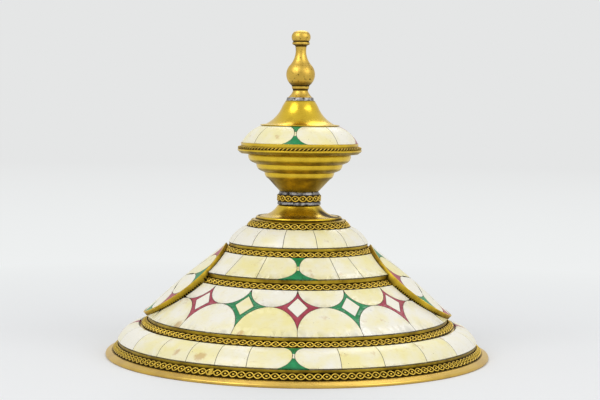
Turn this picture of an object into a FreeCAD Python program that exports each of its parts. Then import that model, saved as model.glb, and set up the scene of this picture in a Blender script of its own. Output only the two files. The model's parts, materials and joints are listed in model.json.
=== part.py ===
"""Brass and bone tagine: a stepped conical lid, set with bone marquetry, on a shallow brass dish.

Millimetres, +Z up, origin at the middle of the dish's underside. Azimuths are in degrees from
the front (-Y), growing towards the right (+X). Radii are chained outwards from the shoulder of
the cone and heights upwards from the floor, so a changed row carries its neighbours with it.
"""

import FreeCAD
import Part
import Sketcher
import math
import operator
import os

SIZES = {
    # Dish that the lid stands on.
    "dish_sheet": 1.2,
    "seat_height": 4.6,
    "seat_margin": 0.2,
    "rim_shelf_width": 5.3,
    "rim_edge_height": 2.4,
    "rim_hem_width": 1.6,
    "rim_roll": 0.5,
    # Spun shell of the lid.
    "lid_sheet": 0.8,
    "lid_flange_width": 9.4,
    "lid_flange_corner": 2.2,
    "lid_lip_depth": 2.2,
    "lid_lip_clearance": 0.6,
    "shoulder_radius": 36.5,
    "shoulder_shelf_width": 6.0,
    # Rows of the cone, from the shoulder down.
    "strip_1_run": 4.1,
    "strip_1_rise": 4.4,
    "tier_1_run": 13.9,
    "tier_1_rise": 12.4,
    "tier_1_bulge": 1.8,
    "edge_1_height": 3.2,
    "strip_2_run": 4.3,
    "strip_2_rise": 3.7,
    "tier_2_run": 18.7,
    "tier_2_rise": 13.9,
    "edge_2_height": 4.0,
    "strip_3_run": 4.9,
    "strip_3_rise": 3.8,
    "tier_3_run": 35.2,
    "tier_3_rise": 28.9,
    "edge_3_height": 3.4,
    "strip_4_run": 5.4,
    "strip_4_rise": 3.4,
    "strip_4_ledge": 1.5,
    "tier_4_run": 16.2,
    "tier_4_rise": 12.0,
    "tier_4_bulge": 2.4,
    "edge_4_height": 3.1,
    "strip_5_run": 4.2,
    "strip_5_rise": 4.4,
    # Thicknesses and fits of the marquetry.
    "bone_thickness": 1.8,
    "bed_gap": 0.15,
    "seam_width": 0.25,
    "strip_thickness": 0.6,
    "strip_gap": 0.1,
    "strip_margin": 0.3,
    "edge_inset": 0.5,
    # Bow-tie inlays, measured along the row from the waist of the bow.
    "bow_waist": 1.5,
    "bow_2_upper": 8.5,
    "bow_2_lower": 16.5,
    "bow_4_upper": 9.5,
    "bow_4_lower": 13.5,
    "bow_cap_upper": 7.5,
    "bow_cap_lower": 11.5,
    "bow_lens_height": 4.4,
    "bow_tip_cut": 0.3,
    # Half-discs and lozenges of the widest row.
    "upper_disc_height": 17.0,
    "lozenge_width": 15.0,
    "lozenge_height": 19.0,
    "spandrel_upper_trim": 3.2,
    "spandrel_lower_trim": 5.2,
    "spandrel_arm_trim": 3.6,
    # Round medallions over the second and third rows.
    "medallion_upper_reach": 2.2,
    "medallion_upper_lift": 1.4,
    "medallion_lower_reach": 3.3,
    "medallion_lower_lift": 0.8,
    "medallion_bulge": 1.2,
    "bezel_wall": 1.2,
    "bezel_proud": 0.3,
    "medallion_sheet": 0.6,
    "rosette_eye_radius": 4.0,
    # Neck.
    "skirt_overhang": 0.7,
    "skirt_lip_height": 0.6,
    "skirt_bead_inset": 2.9,
    "skirt_bead_foot": 1.4,
    "skirt_bead_top": 3.2,
    "skirt_flare_inset": 6.6,
    "skirt_height": 12.6,
    "skirt_top_wall": 2.2,
    "neck_tube_radius": 14.2,
    "neck_tube_overlap": 1.4,
    "neck_fit": 0.2,
    "solder_lower_height": 2.3,
    "solder_lower_spread": 0.4,
    "collar_height": 5.4,
    "collar_wall": 2.3,
    "solder_upper_height": 2.3,
    "solder_upper_setback": 0.4,
    "cup_cone_run": 9.0,
    "cup_cone_rise": 9.6,
    "cup_roll_run": 3.1,
    "cup_roll_rise": 5.1,
    "cup_roll_bulge": 0.9,
    "cup_ledge_run": 3.4,
    "cup_ledge_rise": 1.4,
    "cup_rim_rise": 1.7,
    # Cap and finial.
    "cap_disc_margin": 0.15,
    "cap_disc_sheet": 1.2,
    "cap_disc_dish": 2.2,
    "cap_disc_slope": 2.8,
    "cap_disc_lap": 3.5,
    "cap_disc_ledge_lap": 0.6,
    "rope_radius": 1.15,
    "cap_band_radius": 45.9,
    "cap_band_height": 5.0,
    "cap_bone_inset": 0.5,
    "cap_run": 14.8,
    "cap_rise": 13.2,
    "cap_bulge": 1.8,
    "cap_shelf_width": 3.3,
    "dome_lap": 0.4,
    "dome_lip": 0.6,
    "dome_flare_run": 11.7,
    "dome_flare_rise": 11.3,
    "dome_flare_bulge": 1.3,
    "dome_brim": 4.4,
    "dome_crown_rise": 6.6,
    "dome_crown_bulge": 0.25,
    "dome_crown_margin": 1.5,
    "finial_foot_radius": 9.7,
    "finial_foot_height": 2.4,
    "finial_neck_radius": 5.9,
    "finial_neck_height": 8.6,
    "finial_bead_radius": 6.7,
    "finial_bead_height": 2.2,
    "finial_bulb_radius": 7.0,
    "finial_bulb_bulge": 3.7,
    "finial_bulb_height": 16.2,
    "finial_stem_foot": 8.0,
    "finial_stem_radius": 4.5,
    "finial_stem_height": 14.6,
    "finial_ring_radius": 6.8,
    "finial_ring_height": 2.4,
    "finial_knob_foot": 6.0,
    "finial_knob_height": 7.6,
    "finial_knob_bulge": 1.7,
    "finial_knob_top": 5.4,
    "finial_tip_height": 1.2,
    "finial_solder_spread": 1.2,
    "finial_solder_height": 2.5,
}

# Counts and angles of the marquetry, in degrees of azimuth.
TIER_1_TILES = 13
TIER_1_FIRST_SEAM = 15.2
TIER_2_SEAMS = (-76.0, -45.0, -23.5, 23.5, 39.0, 76.0)
TIER_3_COLUMN = 24.0
TIER_3_COLUMNS = (-60.0, -36.0, -12.0, 12.0, 36.0, 60.0)
TIER_3_SIDE_HALF = 18.0
TIER_4_BOW = -1.0
TIER_4_SEAMS = (-75.0, -60.5, -46.5, -34.5, -24.5, -14.7, 13.0, 26.5, 42.0, 57.5, 74.5)
CAP_BOW = -5.0
CAP_BOWS = 4
PETALS = 8
HALF_TURN = 180.0
SIDES = {"right": 90.0, "left": -90.0}
QUARTER_ARC = 0.5523
BULGED_TIERS = (1, 4)
LEAST_PIECE = 12.0

doc = FreeCAD.newDocument("tagine")
sheet = doc.addObject("Spreadsheet::Sheet", "Sizes")
for row, (alias, number) in enumerate(SIZES.items(), start=1):
    sheet.set(f"A{row}", alias)
    sheet.set(f"B{row}", str(number))
    sheet.setAlias(f"B{row}", alias)
doc.recompute()

SIGNS = {"+": operator.add, "-": operator.sub, "*": operator.mul, "/": operator.truediv}


class Length:
    """A length worked out from the sheet: its value and the expression that gives it."""

    def __init__(self, value, text):
        self.value = value
        self.text = text

    def join(self, sign, other):
        """This length and another, or a plain number, joined by one arithmetic sign."""
        if not isinstance(other, Length):
            other = Length(other, repr(other))
        return Length(SIGNS[sign](self.value, other.value), f"({self.text} {sign} {other.text})")

    def __add__(self, other):
        return self.join("+", other)

    def __sub__(self, other):
        return self.join("-", other)

    def __mul__(self, other):
        return self.join("*", other)

    def __truediv__(self, other):
        return self.join("/", other)

    def __neg__(self):
        return self * -1.0

    def root(self):
        """The square root of this quantity."""
        return Length(math.sqrt(self.value), f"sqrt({self.text})")


def size(alias):
    """One driving dimension of the sheet."""
    return Length(float(sheet.get(alias)), f"Sizes.{alias}")


NOUGHT = Length(0.0, "0")


# Lathe-turned and spun pieces.


def arc_between(start, end, bulge):
    """The counter-clockwise arc that leaves the chord by a bulge to its left, and its ends' order."""
    chord = end - start
    left = FreeCAD.Vector(-chord.y, chord.x, 0).normalize()
    radius = (chord.Length ** 2 / 4 + bulge ** 2) / (2 * abs(bulge))
    centre = (start + end) / 2 + left * (bulge - math.copysign(radius, bulge))
    ends = [start, end] if bulge < 0 else [end, start]
    angles = [math.atan2(p.y - centre.y, p.x - centre.x) for p in ends]
    if angles[1] < angles[0]:
        angles[1] += 2 * math.pi
    circle = Part.Circle(centre, FreeCAD.Vector(0, 0, 1), radius)
    return Part.ArcOfCircle(circle, *angles), bulge < 0


def turned(label, corners):
    """A body turned about Z from a closed outline of (radius, height[, bulge to the next]) corners."""
    body = doc.addObject("PartDesign::Body", label)
    body.Label = label
    sketch = body.newObject("Sketcher::SketchObject", label + "_outline")
    plane = next(f for f in body.Origin.OriginFeatures if f.Role == "XZ_Plane")
    sketch.AttachmentSupport = [(plane, "")]
    sketch.MapMode = "FlatFace"
    points = [FreeCAD.Vector(c[0].value, c[1].value, 0) for c in corners]
    edges = []
    ends = []
    for index, corner in enumerate(corners):
        start = points[index]
        end = points[(index + 1) % len(points)]
        forward = True
        edge = Part.LineSegment(start, end)
        if len(corner) == 3:
            edge, forward = arc_between(start, end, corner[2].value)
        edges.append(edge)
        ends.append((1, 2) if forward else (2, 1))
    sketch.addGeometry(edges, False)
    constraints = []
    bindings = {}
    for index, corner in enumerate(corners):
        after = (index + 1) % len(corners)
        place = ends[index][0]
        constraints.append(Sketcher.Constraint("Coincident", index, ends[index][1], after, ends[after][0]))
        if corner[0].value == 0:
            constraints.append(Sketcher.Constraint("PointOnObject", index, place, -2))
        else:
            bindings[len(constraints)] = corner[0]
            constraints.append(Sketcher.Constraint("DistanceX", -1, 1, index, place, corner[0].value))
        if corner[1].value == 0:
            constraints.append(Sketcher.Constraint("PointOnObject", index, place, -1))
        else:
            bindings[len(constraints)] = corner[1]
            constraints.append(Sketcher.Constraint("DistanceY", -1, 1, index, place, corner[1].value))
        if len(corner) == 3:
            run = corners[after][0] - corner[0]
            rise = corners[after][1] - corner[1]
            bulge = corner[2] if corner[2].value > 0 else -corner[2]
            radius = ((run * run + rise * rise) / 4 + bulge * bulge) / (bulge * 2)
            bindings[len(constraints)] = radius
            constraints.append(Sketcher.Constraint("Radius", index, radius.value))
    sketch.addConstraint(constraints)
    for number, length in bindings.items():
        sketch.setExpression(f"Constraints[{number}]", length.text)
    turn = body.newObject("PartDesign::Revolution", label + "_turn")
    turn.Profile = sketch
    turn.ReferenceAxis = (sketch, ["V_Axis"])
    turn.Angle = 360
    body.Tip = turn
    return body


class Row:
    """The slanted outer face of one row: its upper and lower edges, its bulge and its directions."""

    def __init__(self, top, foot, bulge=NOUGHT):
        self.top = top
        self.foot = foot
        self.bulge = bulge
        self.run = foot[0] - top[0]
        self.rise = top[1] - foot[1]
        self.slant = (self.run * self.run + self.rise * self.rise).root()

    def below(self, point, depth):
        """A point moved squarely in from the row's face."""
        return point[0] - depth * self.rise / self.slant, point[1] - depth * self.run / self.slant


def cone_rows():
    """The bone rows and filigree strips of the cone, as two lists from the shoulder down."""
    tiers = range(1, 5)
    radius = size("shoulder_radius")
    strip_radii = []
    tier_radii = []
    for tier in tiers:
        outer = radius + size(f"strip_{tier}_run")
        strip_radii.append((radius, outer))
        top = outer + size("strip_margin")
        if tier == 4:
            top = top + size("strip_4_ledge")
        foot = top + size(f"tier_{tier}_run")
        tier_radii.append((top, foot))
        radius = foot - size("edge_inset") + size("strip_gap")
    strip_radii.append((radius, radius + size("strip_5_run")))
    height = size("seat_height") + size("bed_gap")
    strip_heights = []
    tier_heights = []
    for tier in reversed(tiers):
        head = height + size(f"strip_{tier + 1}_rise")
        strip_heights.insert(0, (head, height))
        foot = head + size(f"edge_{tier}_height")
        height = foot + size(f"tier_{tier}_rise")
        tier_heights.insert(0, (height, foot))
    strip_heights.insert(0, (height + size("strip_1_rise"), height))
    strips = [Row((r[0], z[0]), (r[1], z[1])) for r, z in zip(strip_radii, strip_heights)]
    bulges = [size(f"tier_{tier}_bulge") if tier in BULGED_TIERS else NOUGHT for tier in tiers]
    rows = [Row((r[0], z[0]), (r[1], z[1]), b) for r, z, b in zip(tier_radii, tier_heights, bulges)]
    return rows, strips


ROWS, STRIPS = cone_rows()
BED = size("bone_thickness") + size("bed_gap")


def strip_section(strip, square_foot):
    """A flat strip whose upper end is upright and whose lower end is square, or level on a seat."""
    thickness = size("strip_thickness")
    inner_top = (strip.top[0], strip.top[1] - thickness * strip.slant / strip.run)
    inner_foot = strip.below(strip.foot, thickness)
    if not square_foot:
        inner_foot = (strip.foot[0] - thickness * strip.slant / strip.rise, strip.foot[1])
    return [strip.top, strip.foot, inner_foot, inner_top]


def band_radius(row):
    """The radius of the upright band under a row."""
    return row.foot[0] - size("edge_inset")


def strip_bed_height(strip):
    """The height at which a band ends, under the strip that starts there."""
    thickness = size("strip_thickness")
    return strip.top[1] - thickness * strip.slant / strip.run - size("bed_gap")


def shell_shoulder():
    """The shell's flat shelf under the neck and the step down from it, as corners going out."""
    shelf = STRIPS[0].top
    rim = shelf[0] - size("strip_gap")
    return [
        (rim - size("shoulder_shelf_width"), shelf[1]),
        (rim, shelf[1]),
        (rim, strip_bed_height(STRIPS[0])),
    ]


def shell_step(row, strip):
    """The shell's outer face at one row, as corners going down: bed top, bed foot, lip, band foot."""
    lip = row.foot[1] - size("edge_inset") * row.run / row.rise - size("seam_width")
    return [
        row.below(row.top, BED),
        row.below(row.foot, BED),
        (band_radius(row), lip),
        (band_radius(row), strip_bed_height(strip)),
    ]


STEPS = [shell_step(row, strip) for row, strip in zip(ROWS, STRIPS[1:])]


def lid_flange():
    """The outer radius of the shell's flat foot and the outer radius of its locating lip."""
    foot = STRIPS[-1]
    inner = foot.foot[0] - size("strip_thickness") * foot.slant / foot.rise
    outer = inner - size("bed_gap") * 2
    return outer, outer - size("lid_flange_width")


def lid_shell():
    """The stepped cone, with a flat foot that stands on the dish and a lip that drops into it."""
    sheet_thickness = size("lid_sheet")
    seat = size("seat_height")
    outer, lip = lid_flange()
    tip = seat - size("lid_lip_depth")
    shoulder = shell_shoulder()
    corners = sum(STEPS, shoulder)
    corners += [(outer, seat), (lip, seat), (lip, tip), (lip - sheet_thickness, tip)]
    corners.append((lip - sheet_thickness, seat + sheet_thickness))
    corners.append((outer - size("lid_flange_corner"), seat + sheet_thickness))
    for bed_top, bed_foot, lip_corner, band_foot in reversed(STEPS):
        band = band_foot[0] - sheet_thickness
        corners.append((band, band_foot[1] - sheet_thickness))
        corners.append((band, lip_corner[1] - sheet_thickness * 2))
        corners.append((bed_top[0] - sheet_thickness, bed_top[1] - sheet_thickness))
    mouth, shelf = shoulder[:2]
    corners.append((shelf[0] - sheet_thickness, shelf[1] - sheet_thickness))
    corners.append((mouth[0], shelf[1] - sheet_thickness))
    return turned("lid_shell", corners)


def base_dish():
    """A shallow tray: flat floor, recess for the lid's lip, seat ledge and sloping rolled rim."""
    sheet_thickness = size("dish_sheet")
    seat = size("seat_height")
    recess = lid_flange()[1] + size("lid_lip_clearance")
    ledge = STRIPS[-1].foot[0] + size("seat_margin")
    rim = ledge + size("rim_shelf_width")
    hem = rim - size("rim_hem_width")
    edge = size("rim_edge_height")
    return turned("base_dish", [
        (NOUGHT, NOUGHT),
        (recess + sheet_thickness, NOUGHT),
        (recess + sheet_thickness, seat - sheet_thickness),
        (ledge - sheet_thickness / 2, seat - sheet_thickness),
        (hem, edge - sheet_thickness),
        (hem, NOUGHT),
        (rim - size("rim_roll"), NOUGHT, -size("rim_roll")),
        (rim - size("rim_roll"), edge),
        (ledge, seat),
        (recess, seat),
        (recess, sheet_thickness),
        (NOUGHT, sheet_thickness),
    ])


# Stack of heights up the neck and cap.
SHOULDER = STRIPS[0].top[1]
NECK = SHOULDER + size("skirt_height")
COLLAR = NECK + size("solder_lower_height") + size("strip_gap")
UPPER_SOLDER = COLLAR + size("collar_height") + size("strip_gap")
CUP = UPPER_SOLDER + size("solder_upper_height") + size("strip_gap")
BORE = size("neck_tube_radius") + size("neck_fit")
COLLAR_RADIUS = BORE + size("collar_wall")
CUP_FOOT = BORE + size("lid_sheet")
CUP_HEIGHT = size("cup_cone_rise") + size("cup_roll_rise") * 3 + size("cup_ledge_rise") * 2
CAP = CUP + CUP_HEIGHT + size("cup_rim_rise")
CAP_LEDGE = CAP + size("cap_disc_dish") + size("cap_disc_sheet")
CAP_FOOT = CAP_LEDGE + size("cap_band_height")
CAP_ROW = Row(
    (size("cap_band_radius") - size("cap_bone_inset") - size("cap_run"), CAP_FOOT + size("cap_rise")),
    (size("cap_band_radius") - size("cap_bone_inset"), CAP_FOOT),
    size("cap_bulge"),
)
CAP_SHELF = CAP_ROW.below(CAP_ROW.top, BED)
DOME_CROWN = CAP_ROW.top[1] + size("bone_thickness") + size("dome_flare_rise") + size("dome_crown_rise")


def neck_skirt():
    """The flare that spreads from the neck to the shoulder, with a bead round it."""
    sheet_thickness = size("lid_sheet")
    lip = size("shoulder_radius") + size("skirt_overhang")
    bead = size("shoulder_radius") - size("skirt_bead_inset")
    flare = bead - size("skirt_flare_inset")
    top = BORE + size("skirt_top_wall")
    foot = SHOULDER + size("skirt_bead_foot")
    crest = SHOULDER + size("skirt_bead_top")
    lip_top = SHOULDER + size("skirt_lip_height")
    return turned("neck_skirt", [
        (lip, SHOULDER),
        (lip, lip_top, size("skirt_lip_height") / 3),
        (bead, foot, -(bead - flare) / 6),
        (bead - (bead - flare) / 3, crest),
        (flare, crest + sheet_thickness, (flare - top) / 8),
        (top, NECK - sheet_thickness),
        (BORE, NECK),
        (BORE, NECK - sheet_thickness * 2),
        (flare - sheet_thickness * 2, crest),
        (bead - (bead - flare) / 2, crest - sheet_thickness),
        (bead - sheet_thickness, foot - sheet_thickness),
        (bead - sheet_thickness, SHOULDER),
    ])


def ring(label, inner, outer, foot, top, foot_outer=None):
    """A plain ring, or one that tapers from a wider foot."""
    return turned(label, [(inner, foot), (foot_outer or outer, foot), (outer, top), (inner, top)])


def neck_cup():
    """A cup spun in three rolls, one wider than the other, over a plain cone."""
    wall = size("lid_sheet")
    radius = CUP_FOOT
    height = CUP
    outer = [(radius, height)]
    inner = [(radius - wall, height)]
    radius = radius + size("cup_cone_run")
    height = height + size("cup_cone_rise")
    for roll in range(3):
        outer.append((radius, height, -size("cup_roll_bulge")))
        radius = radius + size("cup_roll_run")
        height = height + size("cup_roll_rise")
        outer.append((radius, height))
        inner.append((radius - wall, height + wall / 2))
        if roll < 2:
            radius = radius + size("cup_ledge_run")
            height = height + size("cup_ledge_rise")
    outer.append((radius - wall / 2, CAP))
    inner.append((radius - wall * 2, CAP))
    return turned("neck_cup", outer + inner[::-1])


def cap_disc():
    """The dished disc that carries the cap, with a raised ledge for the twisted wire."""
    sheet_thickness = size("cap_disc_sheet")
    band = size("cap_band_radius")
    rim = band + size("seam_width") + size("rope_radius") * 2 + size("cap_disc_margin")
    cup = CUP_FOOT + size("cup_cone_run") + size("cup_roll_run") * 3 + size("cup_ledge_run") * 2
    bore = cup - size("cap_disc_lap")
    dish = rim - size("cap_disc_slope")
    ledge = band - size("cap_disc_ledge_lap")
    return turned("cap_disc", [
        (bore, CAP),
        (dish, CAP),
        (rim, CAP + size("cap_disc_dish")),
        (rim, CAP_LEDGE),
        (ledge, CAP_LEDGE),
        (ledge - sheet_thickness / 2, CAP + sheet_thickness),
        (bore, CAP + sheet_thickness),
    ])


def cap_rope_wire():
    """The wire that lies round the cap's band on the ledge, as the six-sided hull of its twist."""
    wire = size("rope_radius")
    centre = size("cap_band_radius") + wire + size("seam_width")
    axis = CAP_LEDGE + wire * math.sqrt(0.75) + size("strip_gap")
    corners = []
    for corner in range(6):
        angle = math.radians(60 * corner)
        corners.append((centre + wire * math.cos(angle), axis + wire * math.sin(angle)))
    return turned("cap_rope_wire", corners)


def cap_shell():
    """The conical sheet under the cap's bone, with the upright band that ends it."""
    sheet_thickness = size("lid_sheet")
    band = size("cap_band_radius")
    row = CAP_ROW
    foot = row.below(row.foot, BED)
    lip = row.foot[1] + size("cap_bone_inset") * row.run / row.rise - size("seam_width") * 2
    inner = CAP_SHELF[0] - size("cap_shelf_width")
    return turned("cap_shell", [
        (inner, CAP_SHELF[1]),
        CAP_SHELF,
        foot,
        (band, lip),
        (band, CAP_LEDGE),
        (band - sheet_thickness, CAP_LEDGE),
        (band - sheet_thickness, foot[1] - sheet_thickness * 1.4),
        (CAP_SHELF[0] - sheet_thickness / 2, CAP_SHELF[1] - sheet_thickness),
        (inner, CAP_SHELF[1] - sheet_thickness),
    ])


def cap_dome():
    """The bell over the cap: a brim that laps the bone, a hollow flare and a rounded crown."""
    wall = size("lid_sheet")
    brim = CAP_ROW.top[0] + size("dome_lap")
    lip = CAP_ROW.top[1] + size("seam_width")
    lip_top = lip + size("dome_lip")
    seat = CAP_SHELF[0] - size("seam_width") * 2
    flare = brim - size("dome_brim")
    flare_foot = lip_top + size("dome_lip")
    waist = flare - size("dome_flare_run")
    crown_foot = DOME_CROWN - size("dome_crown_rise")
    crown = size("finial_foot_radius") + size("dome_crown_margin")
    bore = crown / 2
    inner = flare - wall * 1.5
    return turned("cap_dome", [
        (inner, CAP_SHELF[1]),
        (seat, CAP_SHELF[1]),
        (seat, lip),
        (brim, lip),
        (brim, lip_top),
        (flare, flare_foot, size("dome_flare_bulge")),
        (waist, crown_foot, -size("dome_crown_bulge")),
        (crown, DOME_CROWN),
        (bore, DOME_CROWN),
        (bore, DOME_CROWN - wall),
        (crown - wall / 2, DOME_CROWN - wall),
        (waist - wall, crown_foot, -size("dome_flare_bulge")),
        (inner, lip),
    ])


def finial():
    """The turned baluster: foot, neck, bead, bulb, tapering stem, ring and knob."""
    foot = size("finial_foot_radius")
    neck = size("finial_neck_radius")
    stem = size("finial_stem_radius")
    bead_foot = DOME_CROWN + size("finial_neck_height")
    bulb_foot = bead_foot + size("finial_bead_height") + size("finial_bead_height") / 2
    bulb_top = bulb_foot + size("finial_bulb_height")
    ring_foot = bulb_top + size("finial_stem_height")
    knob_foot = ring_foot + size("finial_ring_height") + size("finial_ring_height") / 3
    knob_top = knob_foot + size("finial_knob_height")
    half_ring = size("finial_ring_height") / 2
    tip_radius = size("finial_knob_top")
    tip_height = size("finial_tip_height")
    tip_chord = tip_radius * tip_radius + tip_height * tip_height
    tip_ball = tip_chord / (tip_height * 2)
    tip_bulge = tip_ball - (tip_ball * tip_ball - tip_chord / 4).root()
    return turned("finial", [
        (NOUGHT, DOME_CROWN),
        (foot, DOME_CROWN),
        (foot, DOME_CROWN + size("finial_foot_height"), size("finial_foot_height") / 6),
        (neck, bead_foot - size("finial_bead_height") / 2),
        (neck, bead_foot),
        (size("finial_bead_radius"), bead_foot + size("finial_bead_height") / 2),
        (size("finial_bead_radius"), bead_foot + size("finial_bead_height")),
        (size("finial_bulb_radius"), bulb_foot, -size("finial_bulb_bulge")),
        (size("finial_stem_foot"), bulb_top, (size("finial_stem_foot") - stem) / 2),
        (stem, ring_foot),
        (size("finial_ring_radius"), ring_foot + half_ring),
        (size("finial_ring_radius"), ring_foot + size("finial_ring_height")),
        (size("finial_knob_foot"), knob_foot, -size("finial_knob_bulge")),
        (tip_radius, knob_top, -tip_bulge),
        (NOUGHT, knob_top + tip_height),
    ])


# Marquetry, cut from slices of each row's face.


def plain(pair):
    """The plain numbers of a pair of lengths."""
    return pair[0].value, pair[1].value


class Layer:
    """A slanted ring of even thickness between two edges, from which pieces are sliced and cut."""

    def __init__(self, row, depth=0.0, thickness=None, trim=(0.0, 0.0)):
        self.thickness = size("bone_thickness").value if thickness is None else thickness
        self.slant = row.slant.value
        self.down = FreeCAD.Vector(row.run.value, 0, -row.rise.value) / self.slant
        self.out = FreeCAD.Vector(row.rise.value, 0, row.run.value) / self.slant
        top_radius, top_height = plain(row.top)
        self.top = FreeCAD.Vector(top_radius, 0, top_height)
        self.bulge = row.bulge.value
        self.depth = depth
        self.trim = trim

    def point(self, along, out):
        """A point of the section, along the slant from the upper edge and out from the chord."""
        return self.top + self.down * along + self.out * out

    def rim(self, out):
        """One curved side of the section, at a distance out from the face."""
        first = self.trim[0]
        last = self.slant - self.trim[1]
        stations = [first, (first + last) / 2, last]
        points = []
        for station in stations:
            share = station / self.slant
            points.append(self.point(station, out + 4 * self.bulge * share * (1 - share)))
        if self.bulge == 0:
            return Part.makeLine(points[0], points[-1])
        return Part.Arc(*points).toShape()

    def slice(self, start, end):
        """The layer between two azimuths."""
        outer = self.rim(-self.depth)
        inner = self.rim(-self.depth - self.thickness)
        sides = []
        for index in (0, -1):
            sides.append(Part.makeLine(outer.Vertexes[index].Point, inner.Vertexes[index].Point))
        wire = Part.Wire(Part.__sortEdges__([outer, sides[0], inner, sides[1]]))
        section = Part.Face(wire)
        section.rotate(FreeCAD.Vector(), FreeCAD.Vector(0, 0, 1), start - 90)
        return section.revolve(FreeCAD.Vector(), FreeCAD.Vector(0, 0, 1), end - start)


class Stencil:
    """Flat outlines drawn on the plane that touches a layer at one azimuth, and cut through it."""

    def __init__(self, layer, azimuth, along=None):
        self.layer = layer
        self.along = layer.slant / 2 if along is None else along
        turn = FreeCAD.Rotation(FreeCAD.Vector(0, 0, 1), azimuth - 90)
        self.across = turn.multVec(FreeCAD.Vector(0, 1, 0))
        self.up = turn.multVec(layer.down * -1)
        self.out = turn.multVec(layer.out)
        self.origin = turn.multVec(layer.point(self.along, 0))

    def place(self, across, up):
        """A point of the plane in space."""
        return self.origin + self.across * across + self.up * up

    def line(self, *points):
        """Straight edges through points of the plane."""
        placed = [self.place(*p) for p in points]
        return [Part.makeLine(a, b) for a, b in zip(placed, placed[1:])]

    def quarter(self, start, corner, end):
        """A quarter of an ellipse from start to end, in the corner where its tangents meet."""
        poles = [start]
        for tip in (start, end):
            poles.append(tuple(t + QUARTER_ARC * (c - t) for t, c in zip(tip, corner)))
        poles.append(end)
        curve = Part.BezierCurve()
        curve.setPoles([self.place(*p) for p in poles])
        return curve.toShape()

    def prism(self, edges):
        """The solid that an outline sweeps through the layer."""
        reach = self.layer.slant
        face = Part.Face(Part.Wire(edges))
        face.translate(self.out * -reach)
        return face.extrude(self.out * (2 * reach))

    def disc(self, radius, across=0.0, up=0.0):
        """A round prism."""
        reach = self.layer.slant
        foot = self.place(across, up) - self.out * reach
        return Part.makeCylinder(radius, 2 * reach, foot, self.out)


def solids(shape):
    """The separate solids of a cut shape, without crumbs."""
    return [solid for solid in shape.Solids if solid.Volume > LEAST_PIECE]


def seam_angle(row):
    """Half a seam's width, as an angle at the middle of a row."""
    middle = (row.top[0].value + row.foot[0].value) / 2
    return math.degrees(size("seam_width").value / 2 / middle)


def plain_tiles(row, seams):
    """Tiles between successive seams."""
    layer = Layer(row)
    half = seam_angle(row)
    return [layer.slice(a + half, b - half) for a, b in zip(seams, seams[1:])]


def bow_end(stencil, row, side, reach, grow):
    """The rounded end of a tile on one side of a bow-tie, drawn out to its far end.

    The row's edges rise across the flat stencil as they curve away, and the tips follow them.
    """
    upper, lower = reach
    waist = side * (size("bow_waist").value / 2 - grow)
    half = stencil.layer.slant / 2
    far = row.foot[0].value
    lean = row.run.value / row.slant.value / 2
    top = half + upper ** 2 * lean / row.top[0].value + size("bow_tip_cut").value
    foot = -half + lower ** 2 * lean / row.foot[0].value - size("bow_tip_cut").value
    upper_tip = (side * upper, top)
    lower_tip = (side * lower, foot)
    edges = [
        stencil.quarter(upper_tip, (waist, top), (waist, 0.0)),
        stencil.quarter((waist, 0.0), (waist, foot), lower_tip),
    ]
    edges += stencil.line(
        lower_tip,
        (side * lower, -far),
        (side * far, -far),
        (side * far, far),
        (side * upper, far),
        upper_tip,
    )
    return stencil.prism(edges)


def bow_tie(row, azimuth, seams, reach):
    """A bow-tie: the two round-ended tiles beside it, the lens at its waist and its two wings."""
    layer = Layer(row)
    stencil = Stencil(layer, azimuth)
    half = seam_angle(row)
    gap = size("seam_width").value / 2
    tiles = []
    between = layer.slice(seams[0], seams[1])
    for side, seam in zip((-1, 1), seams):
        ends = sorted((azimuth, seam - side * half))
        tiles.append(layer.slice(*ends).common(bow_end(stencil, row, side, reach, -gap)))
        between = between.cut(bow_end(stencil, row, side, reach, gap))
    lens = size("bow_lens_height").value / 2
    wide = reach[0]
    waist_box = stencil.line((wide, lens), (wide, -lens), (-wide, -lens), (-wide, lens), (wide, lens))
    lens_box = stencil.prism(waist_box)
    tiles += between.common(lens_box).Solids
    return tiles, between.cut(lens_box)


def tier_1():
    """Plain tiles all round."""
    pitch = 360.0 / TIER_1_TILES
    seams = [TIER_1_FIRST_SEAM + pitch * tile for tile in range(TIER_1_TILES + 1)]
    return plain_tiles(ROWS[0], seams)


def medallion_row():
    """The face of a medallion along the cone, from just under the first row to past the third."""
    upper = (band_radius(ROWS[0]), STRIPS[1].top[1])
    top = (upper[0] + size("medallion_upper_reach"), upper[1] + size("medallion_upper_lift"))
    lower = ROWS[2].foot
    foot = (lower[0] + size("medallion_lower_reach"), lower[1] + size("medallion_lower_lift"))
    return Row(top, foot, size("medallion_bulge"))


MEDALLION = medallion_row()


def medallion_seat(azimuth, clearance):
    """The round prism that a medallion and its bezel take up, grown by a clearance."""
    stencil = Stencil(Layer(MEDALLION), azimuth)
    return stencil.disc(MEDALLION.slant.value / 2 + clearance)


def around_medallions(pieces):
    """Pieces cut clear of both medallions."""
    seats = [medallion_seat(azimuth, size("seam_width").value) for azimuth in SIDES.values()]
    cleared = []
    for piece in pieces:
        cleared += solids(piece.cut(seats))
    return cleared


def both_faces(pieces):
    """Pieces of the front, with their copies turned to the back."""
    copies = []
    for piece in pieces:
        copy = piece.copy()
        copy.rotate(FreeCAD.Vector(), FreeCAD.Vector(0, 0, 1), HALF_TURN)
        copies.append(copy)
    return pieces + copies


def tier_2():
    """A green bow-tie in front and behind, with plain tiles on to the medallions."""
    row = ROWS[1]
    middle = len(TIER_2_SEAMS) // 2
    reach = plain((size("bow_2_upper"), size("bow_2_lower")))
    tiles, wings = bow_tie(row, 0.0, TIER_2_SEAMS[middle - 1:middle + 1], reach)
    plains = plain_tiles(row, TIER_2_SEAMS[:middle]) + plain_tiles(row, TIER_2_SEAMS[middle:])
    return both_faces(tiles + around_medallions(plains)), both_faces(solids(wings))


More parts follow.
